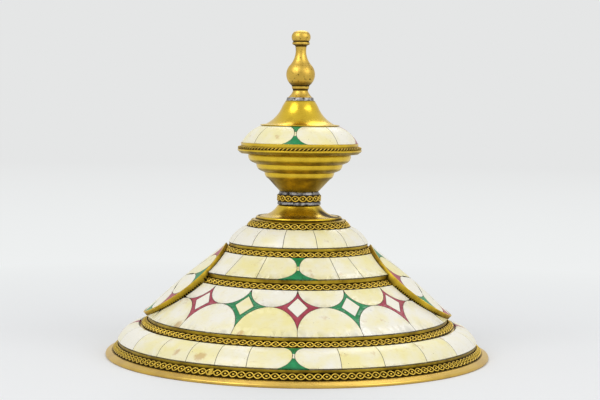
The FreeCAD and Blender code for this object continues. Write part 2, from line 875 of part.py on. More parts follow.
class Column:
    """One column of the widest row: a half-disc that hangs from its top and one that stands below."""

    def __init__(self, row, azimuth, half_angle):
        self.row = row
        self.azimuth = azimuth
        self.half_angle = half_angle
        self.layer = Layer(row)
        self.stencil = Stencil(self.layer, azimuth)

    def disc(self, upper, grow):
        """The prism of the upper or lower half-disc, grown or shrunk by part of a seam."""
        half = self.layer.slant / 2
        spread = math.sin(math.radians(self.half_angle))
        hang = size("upper_disc_height").value
        if upper:
            width = self.row.top[0].value * spread + grow
            base = half
            tip = half - hang - grow
        else:
            width = self.row.foot[0].value * spread + grow
            base = -half
            tip = half - hang + grow
        back = base + math.copysign(half, base)
        edges = [
            self.stencil.quarter((-width, base), (-width, tip), (0, tip)),
            self.stencil.quarter((0, tip), (width, tip), (width, base)),
        ]
        edges += self.stencil.line((width, base), (width, back), (-width, back), (-width, base))
        return self.stencil.prism(edges)

    def piece(self, upper):
        """The half-disc of bone."""
        half = self.half_angle - seam_angle(self.row)
        wedge = self.layer.slice(self.azimuth - half, self.azimuth + half)
        return wedge.common(self.disc(upper, -size("seam_width").value / 2))


def lozenge(stencil, grow):
    """The prism of a lozenge at the middle of an inlay, grown or shrunk by part of a seam."""
    wide = size("lozenge_width").value / 2 + grow
    high = size("lozenge_height").value / 2 + grow
    return stencil.prism(stencil.line((0, high), (wide, 0), (0, -high), (-wide, 0), (0, high)))


def tier_3():
    """Half-discs, lozenges and the four-pointed inlays between them, from side to side."""
    row = ROWS[2]
    half = TIER_3_COLUMN / 2
    columns = [Column(row, azimuth, half) for azimuth in TIER_3_COLUMNS]
    flanks = [Column(row, azimuth, TIER_3_SIDE_HALF) for azimuth in SIDES.values()]
    everyone = flanks[1:] + columns + flanks[:1]
    hanging = around_medallions([c.piece(True) for c in columns])
    standing = around_medallions([c.piece(False) for c in columns])
    corners = around_medallions([c.piece(False) for c in flanks])
    gap = size("seam_width").value / 2
    trimmed = Layer(row, trim=(size("spandrel_upper_trim").value, size("spandrel_lower_trim").value))
    middle = row.slant.value - size("upper_disc_height").value
    arm = size("spandrel_arm_trim").value / (row.foot[0].value - row.run.value * middle / row.slant.value)
    reach = half - math.degrees(arm)
    lozenges = []
    colours = {True: [], False: []}
    for index, (left, right) in enumerate(zip(everyone, everyone[1:])):
        azimuth = right.azimuth - right.half_angle
        inlay = trimmed.slice(azimuth - reach, azimuth + reach)
        inlay = inlay.cut([c.disc(upper, gap) for c in (left, right) for upper in (True, False)])
        stencil = Stencil(left.layer, azimuth, size("upper_disc_height").value)
        lozenges.append(inlay.common(lozenge(stencil, -gap)))
        inlay = inlay.cut(lozenge(stencil, gap))
        colours[index % 2 == 0] += around_medallions([inlay])
    lozenges = around_medallions(lozenges)
    return {
        "tier_3_upper_bone": both_faces(hanging),
        "tier_3_lower_bone": both_faces(standing) + corners,
        "tier_3_diamonds": both_faces(lozenges),
        "tier_3_green": both_faces(colours[True]),
        "tier_3_red": both_faces(colours[False]),
    }


def tier_4():
    """Plain tiles of uneven width, with green bow-ties in front and behind and red ones at the sides."""
    row = ROWS[3]
    reach = plain((size("bow_4_upper"), size("bow_4_lower")))
    middle = sum(1 for seam in TIER_4_SEAMS if seam < TIER_4_BOW)
    bone = plain_tiles(row, TIER_4_SEAMS[:middle]) + plain_tiles(row, TIER_4_SEAMS[middle:])
    front = bow_tie(row, TIER_4_BOW, TIER_4_SEAMS[middle - 1:middle + 1], reach)
    side_seams = (TIER_4_SEAMS[-1], TIER_4_SEAMS[0] + HALF_TURN)
    side = bow_tie(row, SIDES["right"], side_seams, reach)
    bone = bone + front[0] + side[0]
    return both_faces(bone), both_faces(solids(front[1])), both_faces(solids(side[1]))


def cap_tiles():
    """Round-ended tiles in pairs about four bow-ties, green and red by turns."""
    reach = plain((size("bow_cap_upper"), size("bow_cap_lower")))
    pitch = 360.0 / CAP_BOWS
    bone = []
    wings = {0: [], 1: []}
    for bow in range(CAP_BOWS):
        azimuth = CAP_BOW + pitch * bow
        tiles, inlay = bow_tie(CAP_ROW, azimuth, (azimuth - pitch / 2, azimuth + pitch / 2), reach)
        bone += tiles
        wings[bow % 2] += solids(inlay)
    return bone, wings[0], wings[1]


def bezel(azimuth):
    """The upright wall round a medallion, from the shell's steps to just proud of the bone."""
    stencil = Stencil(Layer(MEDALLION), azimuth)
    radius = MEDALLION.slant.value / 2
    wall = stencil.disc(radius).cut(stencil.disc(radius - size("bezel_wall").value))
    gap = size("bed_gap").value
    under = [plain(corner) for corner in STEPS[0][-1:] + STEPS[1] + STEPS[2][:-1]]
    points = [FreeCAD.Vector(r + gap, 0, z + gap) for r, z in under]
    proud = Layer(MEDALLION).rim(size("bezel_proud").value)
    head, tail = proud.Vertexes[0].Point, proud.Vertexes[-1].Point
    points = [FreeCAD.Vector(points[0].x, 0, head.z)] + points + [FreeCAD.Vector(tail.x, 0, points[-1].z)]
    edges = [proud, Part.makeLine(head, points[0])]
    edges += [Part.makeLine(a, b) for a, b in zip(points, points[1:])]
    edges.append(Part.makeLine(points[-1], tail))
    section = Part.Face(Part.Wire(Part.__sortEdges__(edges)))
    section.rotate(FreeCAD.Vector(), FreeCAD.Vector(0, 0, 1), azimuth - 90 - HALF_TURN / 4)
    space = section.revolve(FreeCAD.Vector(), FreeCAD.Vector(0, 0, 1), HALF_TURN / 2)
    return wall.common(space)


def medallion(side, azimuth):
    """The five pieces of one medallion: plate, bezel, bone rosette and its two colours of inlay."""
    gap = size("seam_width").value / 2
    face = Layer(MEDALLION)
    stencil = Stencil(face, azimuth)
    spread = HALF_TURN / 4
    inner = MEDALLION.slant.value / 2 - size("bezel_wall").value - gap
    sheet_thickness = size("medallion_sheet").value
    plate = Layer(MEDALLION, BED.value, sheet_thickness).slice(azimuth - spread, azimuth + spread)
    slab = face.slice(azimuth - spread, azimuth + spread).common(stencil.disc(inner))
    lobe_share = math.sin(math.pi / PETALS)
    lobe = inner * lobe_share / (1 + lobe_share)
    hub = inner - lobe
    eye = size("rosette_eye_radius").value
    petals = [slab.common(stencil.disc(eye - gap))]
    inlay = slab.cut(stencil.disc(hub * math.cos(math.pi / PETALS)))
    for petal in range(PETALS):
        angle = 2 * math.pi * petal / PETALS
        across, up = math.sin(angle), math.cos(angle)
        lobe_disc = stencil.disc(lobe - gap, hub * across, hub * up)
        sector = math.pi / PETALS - gap / eye
        tips = [(0.0, 0.0)]
        for turn in (angle - sector, angle + sector):
            tips.append((hub * math.sin(turn), hub * math.cos(turn)))
        blade = stencil.prism(stencil.line(*tips, tips[0]))
        petals.append(slab.common(blade.fuse(lobe_disc)).cut(stencil.disc(eye + gap)))
        inlay = inlay.cut(stencil.disc(lobe + gap, hub * across, hub * up))
    colours = {True: [], False: []}
    for piece in solids(inlay):
        offset = piece.CenterOfMass - stencil.origin
        angle = math.atan2(-offset.dot(stencil.across), offset.dot(stencil.up)) % (2 * math.pi)
        colours[int(angle * PETALS / (2 * math.pi)) % 2 == 0].append(piece)
    return {
        f"medallion_{side}_plate": [plate.common(stencil.disc(inner))],
        f"medallion_{side}_bezel": solids(bezel(azimuth)),
        f"medallion_{side}_petals": petals,
        f"medallion_{side}_green": colours[True],
        f"medallion_{side}_red": colours[False],
    }


def group(label, pieces):
    """A sub-part made of separate solids."""
    feature = doc.addObject("Part::Feature", label)
    feature.Label = label
    feature.Shape = Part.makeCompound(pieces)
    feature.Placement = FreeCAD.Placement()
    return feature


def seated_strip(label, strip):
    """A strip cut away where the two medallions stand."""
    whole = turned(label + "_whole", strip_section(strip, True))
    seats = []
    for side, azimuth in SIDES.items():
        stencil = Stencil(Layer(MEDALLION), azimuth)
        seat = doc.addObject("Part::Cylinder", f"{label}_{side}_seat")
        seat.setExpression("Radius", (MEDALLION.slant / 2 + size("seam_width")).text)
        seat.setExpression("Height", MEDALLION.slant.text)
        foot = stencil.origin - stencil.out * (MEDALLION.slant.value / 2)
        seat.Placement = FreeCAD.Placement(foot, FreeCAD.Rotation(FreeCAD.Vector(0, 0, 1), stencil.out))
        seats.append(seat)
    both = doc.addObject("Part::Compound", label + "_seats")
    both.Links = seats
    cut = doc.addObject("Part::Cut", label)
    cut.Label = label
    cut.Base = whole
    cut.Tool = both
    return cut


def build():
    """All the sub-parts, in the order in which they are listed."""
    tube = size("neck_tube_radius")
    wall = size("lid_sheet")
    lap = size("neck_tube_overlap")
    gap = size("strip_gap")
    solder_bore = size("finial_foot_radius") + size("bed_gap")
    solder_foot = size("finial_foot_radius") + size("finial_solder_spread")
    parts = [
        base_dish(),
        lid_shell(),
        turned("filigree_shoulder", strip_section(STRIPS[0], True)),
        seated_strip("filigree_2", STRIPS[1]),
        seated_strip("filigree_3", STRIPS[2]),
        turned("filigree_4", strip_section(STRIPS[3], True)),
        turned("filigree_foot", strip_section(STRIPS[4], False)),
        neck_skirt(),
        ring("neck_tube", tube - wall, tube, NECK - lap, CUP + lap),
        ring("neck_solder_lower", BORE, COLLAR_RADIUS, NECK, COLLAR - gap,
             COLLAR_RADIUS + size("solder_lower_spread")),
        ring("filigree_collar", BORE, COLLAR_RADIUS, COLLAR, COLLAR + size("collar_height")),
        ring("neck_solder_upper", BORE, CUP_FOOT, UPPER_SOLDER, CUP - gap,
             COLLAR_RADIUS - size("solder_upper_setback")),
        neck_cup(),
        cap_disc(),
        cap_rope_wire(),
        cap_shell(),
        cap_dome(),
        ring("finial_solder", solder_bore, solder_bore + size("bed_gap") * 2, DOME_CROWN,
             DOME_CROWN + size("finial_solder_height"), solder_foot),
        finial(),
    ]
    groups = {"tier_1_bone": tier_1()}
    groups["tier_2_bone"], groups["tier_2_green"] = tier_2()
    groups.update(tier_3())
    groups["tier_4_bone"], groups["tier_4_green"], groups["tier_4_red"] = tier_4()
    groups["cap_bone"], groups["cap_green"], groups["cap_red"] = cap_tiles()
    for side, azimuth in SIDES.items():
        groups.update(medallion(side, azimuth))
    parts += [group(label, pieces) for label, pieces in groups.items()]
    return parts


def check(parts):
    """Stop if any object failed, or if any sub-part is empty or not valid."""
    doc.recompute()
    failed = [o.Name for o in doc.Objects if "Invalid" in o.State or "Error" in o.State]
    if failed:
        raise RuntimeError(f"failed objects: {failed}")
    bad = [p.Label for p in parts if p.Shape.isNull() or not p.Shape.isValid() or not p.Shape.Solids]
    if bad:
        raise RuntimeError(f"bad shapes: {bad}")


def write(parts):
    """One STEP file for each sub-part, named for its label."""
    os.makedirs("parts", exist_ok=True)
    for part in parts:
        part.Shape.exportStep(f"parts/{part.Label}.step")
        print(f"{part.Label}: {len(part.Shape.Solids)} solids, {part.Shape.Volume:.0f} cubic mm")


PARTS = build()
check(PARTS)
write(PARTS)
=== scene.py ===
"""Looks of a brass and bone tagine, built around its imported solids.

Metres, in the part's own frame: +Z up the axis of the cone, -Y towards the front.
"""

import json
import logging
import math
import random
from contextlib import contextmanager
from dataclasses import dataclass
from enum import Enum
from typing import Iterator, Optional

import bmesh
import bpy
import numpy as np
from mathutils import Matrix, Vector


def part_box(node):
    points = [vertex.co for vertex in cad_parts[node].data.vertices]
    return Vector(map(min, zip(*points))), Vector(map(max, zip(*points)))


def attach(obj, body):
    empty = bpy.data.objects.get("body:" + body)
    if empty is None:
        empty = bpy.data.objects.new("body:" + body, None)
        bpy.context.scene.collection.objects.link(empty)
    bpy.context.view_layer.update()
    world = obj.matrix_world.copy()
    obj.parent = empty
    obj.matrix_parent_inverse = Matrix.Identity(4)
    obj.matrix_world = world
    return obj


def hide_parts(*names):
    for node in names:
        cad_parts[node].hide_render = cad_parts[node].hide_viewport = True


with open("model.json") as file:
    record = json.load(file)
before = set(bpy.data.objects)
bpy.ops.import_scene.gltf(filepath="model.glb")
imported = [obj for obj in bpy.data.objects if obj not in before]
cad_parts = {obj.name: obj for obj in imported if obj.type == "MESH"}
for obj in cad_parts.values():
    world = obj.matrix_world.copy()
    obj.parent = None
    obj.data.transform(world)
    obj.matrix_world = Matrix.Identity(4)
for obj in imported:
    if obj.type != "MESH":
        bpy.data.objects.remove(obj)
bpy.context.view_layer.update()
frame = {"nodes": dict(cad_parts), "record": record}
LOG = logging.getLogger("tagine")

MM = 0.001
TOUCH = 1e-6
SEAM_MM = 0.02

# Settings that many nodes share.
COLOURS = {"data_type": "RGBA"}
MULTIPLY_ADD = {"operation": "MULTIPLY_ADD"}

Outline = list[tuple[float, float]]


class Body(Enum):
    """The two bodies that come apart."""

    DISH = "base"
    LID = "lid"


class Slot(Enum):
    """The record's material slots."""

    BRASS = "brass"
    BONE = "bone"
    GREEN = "green_resin"
    RED = "red_resin"
    SOLDER = "solder"


# Nodes and colours


def srgb(code: str) -> tuple[float, float, float, float]:
    """Turns an sRGB hex colour to linear RGBA.

    Args:
        code: six hex digits after a hash.

    Returns:
        The linear colour, opaque.
    """
    channels = [int(code[start:start + 2], 16) / 255 for start in (1, 3, 5)]
    linear = [c / 12.92 if c <= 0.04045 else ((c + 0.055) / 1.055) ** 2.4 for c in channels]
    return (*linear, 1.0)


def add_node(tree: bpy.types.NodeTree, kind: str, settings: Optional[dict] = None, **inputs) -> bpy.types.Node:
    """Adds one shader node with its settings, values and links.

    Args:
        tree: the material's or world's node tree.
        kind: the node's type without its ShaderNode prefix.
        settings: the node's own options.
        inputs: values or output sockets, by input name, or by in0, in1 and so on.

    Returns:
        The new node.
    """
    node = tree.nodes.new("ShaderNode" + kind)
    for name, value in (settings or {}).items():
        setattr(node, name, value)
    for key, value in inputs.items():
        number = key[2:]
        socket = node.inputs[int(number)] if number.isdigit() else node.inputs[key.replace("_", " ")]
        if isinstance(value, bpy.types.NodeSocket):
            tree.links.new(value, socket)
        else:
            socket.default_value = value
    return node


def new_material(name: str) -> tuple[bpy.types.Material, bpy.types.NodeTree]:
    """Starts an empty node material.

    Args:
        name: the finish's name.

    Returns:
        The material and its cleared node tree.
    """
    material = bpy.data.materials.new(name)
    material.use_nodes = True
    material.node_tree.nodes.clear()
    return material, material.node_tree


def per_mm(size_mm: float) -> float:
    """The texture scale that gives a pattern of about one size in millimetres."""
    return 1000.0 / size_mm


def spotted(
    tree: bpy.types.NodeTree, place: bpy.types.NodeSocket, amount: bpy.types.NodeSocket,
    spots: tuple[Vector, ...], reach_mm: float, most: float,
) -> bpy.types.NodeSocket:
    """Adds round spots to an amount of dirt, strongest at their middles.

    Args:
        tree: the material's node tree.
        place: the piece's Object coordinates.
        amount: the dirt without them.
        spots: their middles.
        reach_mm: their radius.
        most: what each adds at its middle.

    Returns:
        The dirt with them.
    """
    for middle in spots:
        far = add_node(tree, "VectorMath", {"operation": "DISTANCE"}, in0=place, in1=middle).outputs["Value"]
        near = add_node(tree, "MapRange", Value=far, From_Max=reach_mm * MM, To_Min=most, To_Max=0.0)
        amount = add_node(tree, "Math", {"operation": "ADD"}, in0=amount, in1=near.outputs[0]).outputs[0]
    return amount


# Finishes


@dataclass(frozen=True)
class Bone:
    """Cattle bone, sawn thin and polished: ivory with yellow clouds, brown stains and dark pores."""

    name: str = "bone_sawn_and_polished"
    ivory: str = "#F9F5E6"
    cloud: str = "#F6EBA6"
    stain: str = "#C79A58"
    pore: str = "#5E4A30"
    grime: str = "#3A2F1E"
    cloud_mm: float = 16.0
    stain_mm: float = 13.0
    # Bone's fibres lie about 0.3 mm apart; they are drawn coarser, so that they show.
    fibre_mm: float = 1.1
    pore_mm: float = 1.6
    spot_mm: float = 7.0
    roughness: float = 0.3
    spots: tuple[Vector, ...] = ()

    def material(self) -> bpy.types.Material:
        """Builds the node material.

        Returns:
            The material.
        """
        material, tree = new_material(self.name)
        place = add_node(tree, "TexCoord").outputs["Object"]
        tile = add_node(tree, "Attribute", {"attribute_name": "tile"}).outputs["Vector"]
        tint = add_node(tree, "Attribute", {"attribute_name": "tint"}).outputs["Fac"]
        edge = add_node(tree, "Attribute", {"attribute_name": "edge"}).outputs["Fac"]
        spot = add_node(tree, "VectorMath", {"operation": "ADD"}, in0=place, in1=tile).outputs[0]
        cloud = add_node(tree, "TexNoise", Vector=spot, Scale=per_mm(self.cloud_mm), Detail=3.0, Roughness=0.6)
        warm = add_node(tree, "Math", MULTIPLY_ADD, in0=tint, in1=0.5, in2=cloud.outputs["Fac"])
        clouded = add_node(tree, "MapRange", Value=warm.outputs[0], From_Min=0.55, From_Max=1.05)
        ground = add_node(tree, "Mix", COLOURS, in0=clouded.outputs[0], in6=srgb(self.ivory), in7=srgb(self.cloud))
        lie = add_node(tree, "Mapping", Vector=spot, Scale=(0.12, 0.5, 1.0))
        fibre = add_node(
            tree, "TexNoise", Vector=lie.outputs[0], Scale=per_mm(self.fibre_mm), Detail=3.0, Roughness=0.7,
        )
        streak = add_node(tree, "MapRange", Value=fibre.outputs["Fac"], From_Min=0.58, From_Max=0.85, To_Max=0.3)
        streaked = add_node(tree, "Mix", COLOURS, in0=streak.outputs[0], in6=ground.outputs[2], in7=srgb(self.stain))
        blot = add_node(tree, "TexNoise", Vector=spot, Scale=per_mm(self.stain_mm), Detail=5.0, Roughness=0.65)
        amount = spotted(tree, place, blot.outputs["Fac"], self.spots, self.spot_mm, 0.3)
        stained = add_node(tree, "MapRange", Value=amount, From_Min=0.62, From_Max=0.74, To_Max=0.6)
        browned = add_node(tree, "Mix", COLOURS, in0=stained.outputs[0], in6=streaked.outputs[2], in7=srgb(self.stain))
        pit = add_node(tree, "TexNoise", Vector=spot, Scale=per_mm(self.pore_mm), Detail=1.0)
        speck = add_node(tree, "MapRange", Value=pit.outputs["Fac"], From_Min=0.76, From_Max=0.82, To_Max=0.7)
        specked = add_node(tree, "Mix", COLOURS, in0=speck.outputs[0], in6=browned.outputs[2], in7=srgb(self.pore))
        seam = add_node(tree, "MapRange", Value=edge, From_Min=0.25, From_Max=1.0, To_Max=0.85)
        colour = add_node(tree, "Mix", COLOURS, in0=seam.outputs[0], in6=specked.outputs[2], in7=srgb(self.grime))
        worn = add_node(
            tree, "MapRange", Value=fibre.outputs["Fac"], To_Min=self.roughness - 0.08, To_Max=self.roughness + 0.12,
        )
        bump = add_node(tree, "Bump", Strength=0.12, Distance=0.05 * MM, Height=fibre.outputs["Fac"])
        shader = add_node(
            tree, "BsdfPrincipled", Base_Color=colour.outputs[2], Roughness=worn.outputs[0],
            Normal=bump.outputs[0], IOR=1.54,
        )
        add_node(tree, "OutputMaterial", Surface=shader.outputs[0])
        return material


@dataclass(frozen=True)
class Brass:
    """Sheet or cast brass, turned on a lathe: yellow, with fine rings, and brown patina with painted shade in its
    crevices and on its undersides.
    """

    name: str = "brass_spun_and_brushed"
    bright: str = "#E3C03A"
    dull: str = "#BF992B"
    # Dark brown of the patina, also used for the painted shade in crevices and under the brass.
    patina_and_shade: str = "#33240A"
    # Lathe marks lie about 0.2 mm apart; they are drawn coarser, so that they show.
    ring_mm: float = 0.7
    ring_stretch: float = 0.02
    cloud_mm: float = 18.0
    pit_mm: float = 2.2
    pits: float = 0.0
    spot_mm: float = 10.0
    spots: tuple[Vector, ...] = ()
    roughness: float = 0.21
    ring_depth: float = 0.25

    def material(self) -> bpy.types.Material:
        """Builds the node material.

        Returns:
            The material.
        """
        material, tree = new_material(self.name)
        place = add_node(tree, "TexCoord").outputs["Object"]
        # The attribute read here holds painted shade in hollow corners, at joints and on faces turned down, with some
        # patina there.
        shade_and_patina_amount = add_node(tree, "Attribute", {"attribute_name": "shade_and_patina_amount"}).outputs["Fac"]
        cloud = add_node(tree, "TexNoise", Vector=place, Scale=per_mm(self.cloud_mm), Detail=5.0, Roughness=0.65)
        dulled = add_node(tree, "MapRange", Value=cloud.outputs["Fac"], From_Min=0.45, From_Max=0.75, To_Max=0.8)
        ground = add_node(tree, "Mix", COLOURS, in0=dulled.outputs[0], in6=srgb(self.bright), in7=srgb(self.dull))
        shade_and_patina_amount = spotted(tree, place, shade_and_patina_amount, self.spots, self.spot_mm, 1.0)
        # Cloudy dirt and that painted shade darken the brass towards the dark brown and make it rougher.
        cloud_and_shade = add_node(tree, "Math", MULTIPLY_ADD, in0=cloud.outputs["Fac"], in1=0.7, in2=shade_and_patina_amount)
        dirt_and_shade = add_node(tree, "MapRange", Value=cloud_and_shade.outputs[0], From_Min=0.62, From_Max=1.25, To_Max=0.95)
        soiled_and_shaded = add_node(tree, "Mix", COLOURS, in0=dirt_and_shade.outputs[0], in6=ground.outputs[2], in7=srgb(self.patina_and_shade))
        pit = add_node(tree, "TexNoise", Vector=place, Scale=per_mm(self.pit_mm), Detail=4.0, Roughness=0.7)
        pitted = add_node(tree, "MapRange", Value=pit.outputs["Fac"], From_Min=0.585, From_Max=0.65, To_Max=self.pits)
        colour = add_node(tree, "Mix", COLOURS, in0=pitted.outputs[0], in6=soiled_and_shaded.outputs[2], in7=srgb(self.patina_and_shade))
        turned = add_node(tree, "Mapping", Vector=place, Scale=(self.ring_stretch, self.ring_stretch, 1.0))
        ring = add_node(
            tree, "TexNoise", Vector=turned.outputs[0], Scale=per_mm(self.ring_mm), Detail=4.0, Roughness=0.7,
        )
        matt = add_node(tree, "Math", MULTIPLY_ADD, in0=dirt_and_shade.outputs[0], in1=0.35, in2=self.roughness)
        worn = add_node(tree, "Math", MULTIPLY_ADD, in0=ring.outputs["Fac"], in1=0.12, in2=matt.outputs[0])
        bump = add_node(tree, "Bump", Strength=self.ring_depth, Distance=0.06 * MM, Height=ring.outputs["Fac"])
        shader = add_node(
            tree, "BsdfPrincipled", Base_Color=colour.outputs[2], Metallic=1.0, Roughness=worn.outputs[0],
            Normal=bump.outputs[0],
        )
        add_node(tree, "OutputMaterial", Surface=shader.outputs[0])
        return material


@dataclass(frozen=True)
class StampedBrass:
    """Brass strip pressed in a die: bright on the raised strands, near-black patina in the hollows."""

    name: str = "brass_stamped_and_patinated"
    bright: str = "#D3B247"
    patina: str = "#43330F"
    cloud_mm: float = 9.0
    # The die's grain is about 0.1 mm; it is drawn coarser, so that it shows.
    grain_mm: float = 0.6
    roughness: float = 0.34

    def material(self) -> bpy.types.Material:
        """Builds the node material.

        Returns:
            The material.
        """
        material, tree = new_material(self.name)
        place = add_node(tree, "TexCoord").outputs["Object"]
        relief = add_node(tree, "Attribute", {"attribute_name": "relief"}).outputs["Fac"]
        cloud = add_node(tree, "TexNoise", Vector=place, Scale=per_mm(self.cloud_mm), Detail=4.0, Roughness=0.7)
        height = add_node(tree, "Math", MULTIPLY_ADD, in0=cloud.outputs["Fac"], in1=0.5, in2=relief)
        # The relief gives wear on the raised strands, and a painted shadow along the foot of the strip's lapped end.
        lightness = add_node(tree, "MapRange", Value=height.outputs[0], From_Min=0.3, From_Max=0.95)
        colour = add_node(tree, "Mix", COLOURS, in0=lightness.outputs[0], in6=srgb(self.patina), in7=srgb(self.bright))
        worn = add_node(tree, "MapRange", Value=lightness.outputs[0], To_Min=0.65, To_Max=self.roughness)
        grain = add_node(tree, "TexNoise", Vector=place, Scale=per_mm(self.grain_mm), Detail=2.0)
        bump = add_node(tree, "Bump", Strength=0.2, Distance=0.04 * MM, Height=grain.outputs["Fac"])
        shader = add_node(
            tree, "BsdfPrincipled", Base_Color=colour.outputs[2], Metallic=1.0, Roughness=worn.outputs[0],
            Normal=bump.outputs[0],
        )
        add_node(tree, "OutputMaterial", Surface=shader.outputs[0])
        return material


@dataclass(frozen=True)
class Resin:
    """Coloured filler, poured between the bones and polished flush: smooth, faintly mottled."""

    name: str
    deep: str
    light: str
    grime: str = "#1E1A12"
    mottle_mm: float = 5.0
    roughness: float = 0.32

    def material(self) -> bpy.types.Material:
        """Builds the node material.

        Returns:
            The material.
        """
        material, tree = new_material(self.name)
        place = add_node(tree, "TexCoord").outputs["Object"]
        edge = add_node(tree, "Attribute", {"attribute_name": "edge"}).outputs["Fac"]
        mottle = add_node(tree, "TexNoise", Vector=place, Scale=per_mm(self.mottle_mm), Detail=4.0, Roughness=0.65)
        tone = add_node(tree, "MapRange", Value=mottle.outputs["Fac"], From_Min=0.35, From_Max=0.7)
        body = add_node(tree, "Mix", COLOURS, in0=tone.outputs[0], in6=srgb(self.deep), in7=srgb(self.light))
        seam = add_node(tree, "MapRange", Value=edge, From_Min=0.3, From_Max=1.0, To_Max=0.5)
        colour = add_node(tree, "Mix", COLOURS, in0=seam.outputs[0], in6=body.outputs[2], in7=srgb(self.grime))
        worn = add_node(
            tree, "MapRange", Value=mottle.outputs["Fac"], To_Min=self.roughness - 0.08, To_Max=self.roughness + 0.1,
        )
        shader = add_node(tree, "BsdfPrincipled", Base_Color=colour.outputs[2], Roughness=worn.outputs[0], IOR=1.52)
        add_node(tree, "OutputMaterial", Surface=shader.outputs[0])
        return material


@dataclass(frozen=True)
class SoftSolder:
    """Tin solder, run round a joint with a torch: dull grey, lumpy, with sooty patches."""

    name: str = "soft_solder_as_run"
    grey: str = "#A7A5A3"
    soot: str = "#262322"
    patch_mm: float = 3.0
    roughness: float = 0.5

    def material(self) -> bpy.types.Material:
        """Builds the node material.

        Returns:
            The material.
        """
        material, tree = new_material(self.name)
        place = add_node(tree, "TexCoord").outputs["Object"]
        patch = add_node(tree, "TexNoise", Vector=place, Scale=per_mm(self.patch_mm), Detail=5.0, Roughness=0.7)
        sooty = add_node(tree, "MapRange", Value=patch.outputs["Fac"], From_Min=0.42, From_Max=0.62)
        colour = add_node(tree, "Mix", COLOURS, in0=sooty.outputs[0], in6=srgb(self.grey), in7=srgb(self.soot))
        bump = add_node(tree, "Bump", Strength=0.5, Distance=0.2 * MM, Height=patch.outputs["Fac"])
        shader = add_node(
            tree, "BsdfPrincipled", Base_Color=colour.outputs[2], Metallic=0.85, Roughness=self.roughness,
            Normal=bump.outputs[0],
        )
        add_node(tree, "OutputMaterial", Surface=shader.outputs[0])
        return material


# Meshes


def select_only(piece: bpy.types.Object) -> None:
    """Makes one object the only selected one, and the active one."""
    bpy.ops.object.select_all(action="DESELECT")
    piece.select_set(True)
    bpy.context.view_layer.objects.active = piece


@contextmanager
def editing(piece: bpy.types.Object) -> Iterator[bmesh.types.BMesh]:
    """Opens a piece in edit mode for the length of a with block.

    Args:
        piece: the mesh object to edit.

    Returns:
        The edit mesh, for selecting in code.
    """
    select_only(piece)
    bpy.ops.object.mode_set(mode="EDIT")
    bpy.ops.mesh.select_mode(type="VERT")
    yield bmesh.from_edit_mesh(piece.data)
    bpy.ops.object.mode_set(mode="OBJECT")


def smooth(piece: bpy.types.Object, angle: float = 35.0) -> None:
    """Shades a piece smooth, with edges sharper than an angle in degrees kept crisp."""
    select_only(piece)
    bpy.ops.object.shade_smooth_by_angle(angle=math.radians(angle))


def merged_copy(node: str, name: str) -> bpy.types.Object:
    """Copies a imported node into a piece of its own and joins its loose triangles.

    Args:
        node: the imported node's name.
        name: the new piece's name.

    Returns:
        The new piece.
    """
    mesh = frame["nodes"][node].data.copy()
    mesh.materials.clear()
    piece = bpy.data.objects.new(name, mesh)
    bpy.context.scene.collection.objects.link(piece)
    with editing(piece):
        bpy.ops.mesh.select_all(action="SELECT")
        bpy.ops.mesh.remove_doubles(threshold=TOUCH)
    return piece


def float_layer(piece: bpy.types.Object, name: str, values: np.ndarray) -> None:
    """Stores one number for each vertex of a piece.

    Args:
        piece: the mesh object.
        name: the attribute's name.
        values: one number for each vertex.
    """
    layer = piece.data.attributes.new(name, "FLOAT", "POINT")
    layer.data.foreach_set("value", values.astype(np.float32))


def turn_normals(piece: bpy.types.Object, faces: set[int], middle: Vector, axis: Vector, along: bool) -> None:
    """Evens out the shading of faces that lie round an axis.

    Args:
        piece: the mesh object, already shaded.
        faces: the numbers of those faces.
        middle: a point on the axis.
        axis: the axis's direction.
        along: whether the faces may lean along the axis, or stand straight off it.
    """
    mesh = piece.data
    normals = [Vector(corner.vector) for corner in mesh.corner_normals]
    for number in faces:
        for corner in mesh.polygons[number].loop_indices:
            offset = mesh.vertices[mesh.loops[corner].vertex_index].co - middle
            out = (offset - axis * offset.dot(axis)).normalized()
            normal = normals[corner]
            lean = axis * normal.dot(axis) if along else Vector()
            normals[corner] = (out * normal.dot(out) + lean).normalized()
    mesh.normals_split_custom_set(normals)


def vertex_places(piece: bpy.types.Object) -> np.ndarray:
    """The vertices of a piece as rows of x, y and z."""
    places = np.zeros(len(piece.data.vertices) * 3, np.float32)
    piece.data.vertices.foreach_get("co", places)
    return places.reshape(-1, 3).astype(float)


def dress(
    piece: bpy.types.Object, body: Body, slot: Slot, material: bpy.types.Material, *nodes: str,
) -> bpy.types.Object:
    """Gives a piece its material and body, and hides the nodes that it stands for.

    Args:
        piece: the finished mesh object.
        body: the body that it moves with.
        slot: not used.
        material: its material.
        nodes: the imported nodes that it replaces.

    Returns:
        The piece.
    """
    piece.data.materials.clear()
    piece.data.materials.append(material)
    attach(piece, body.value)
    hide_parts(*nodes)
    LOG.info("%s: %d faces", piece.name, len(piece.data.polygons))
    return piece


# Turned and spun brass


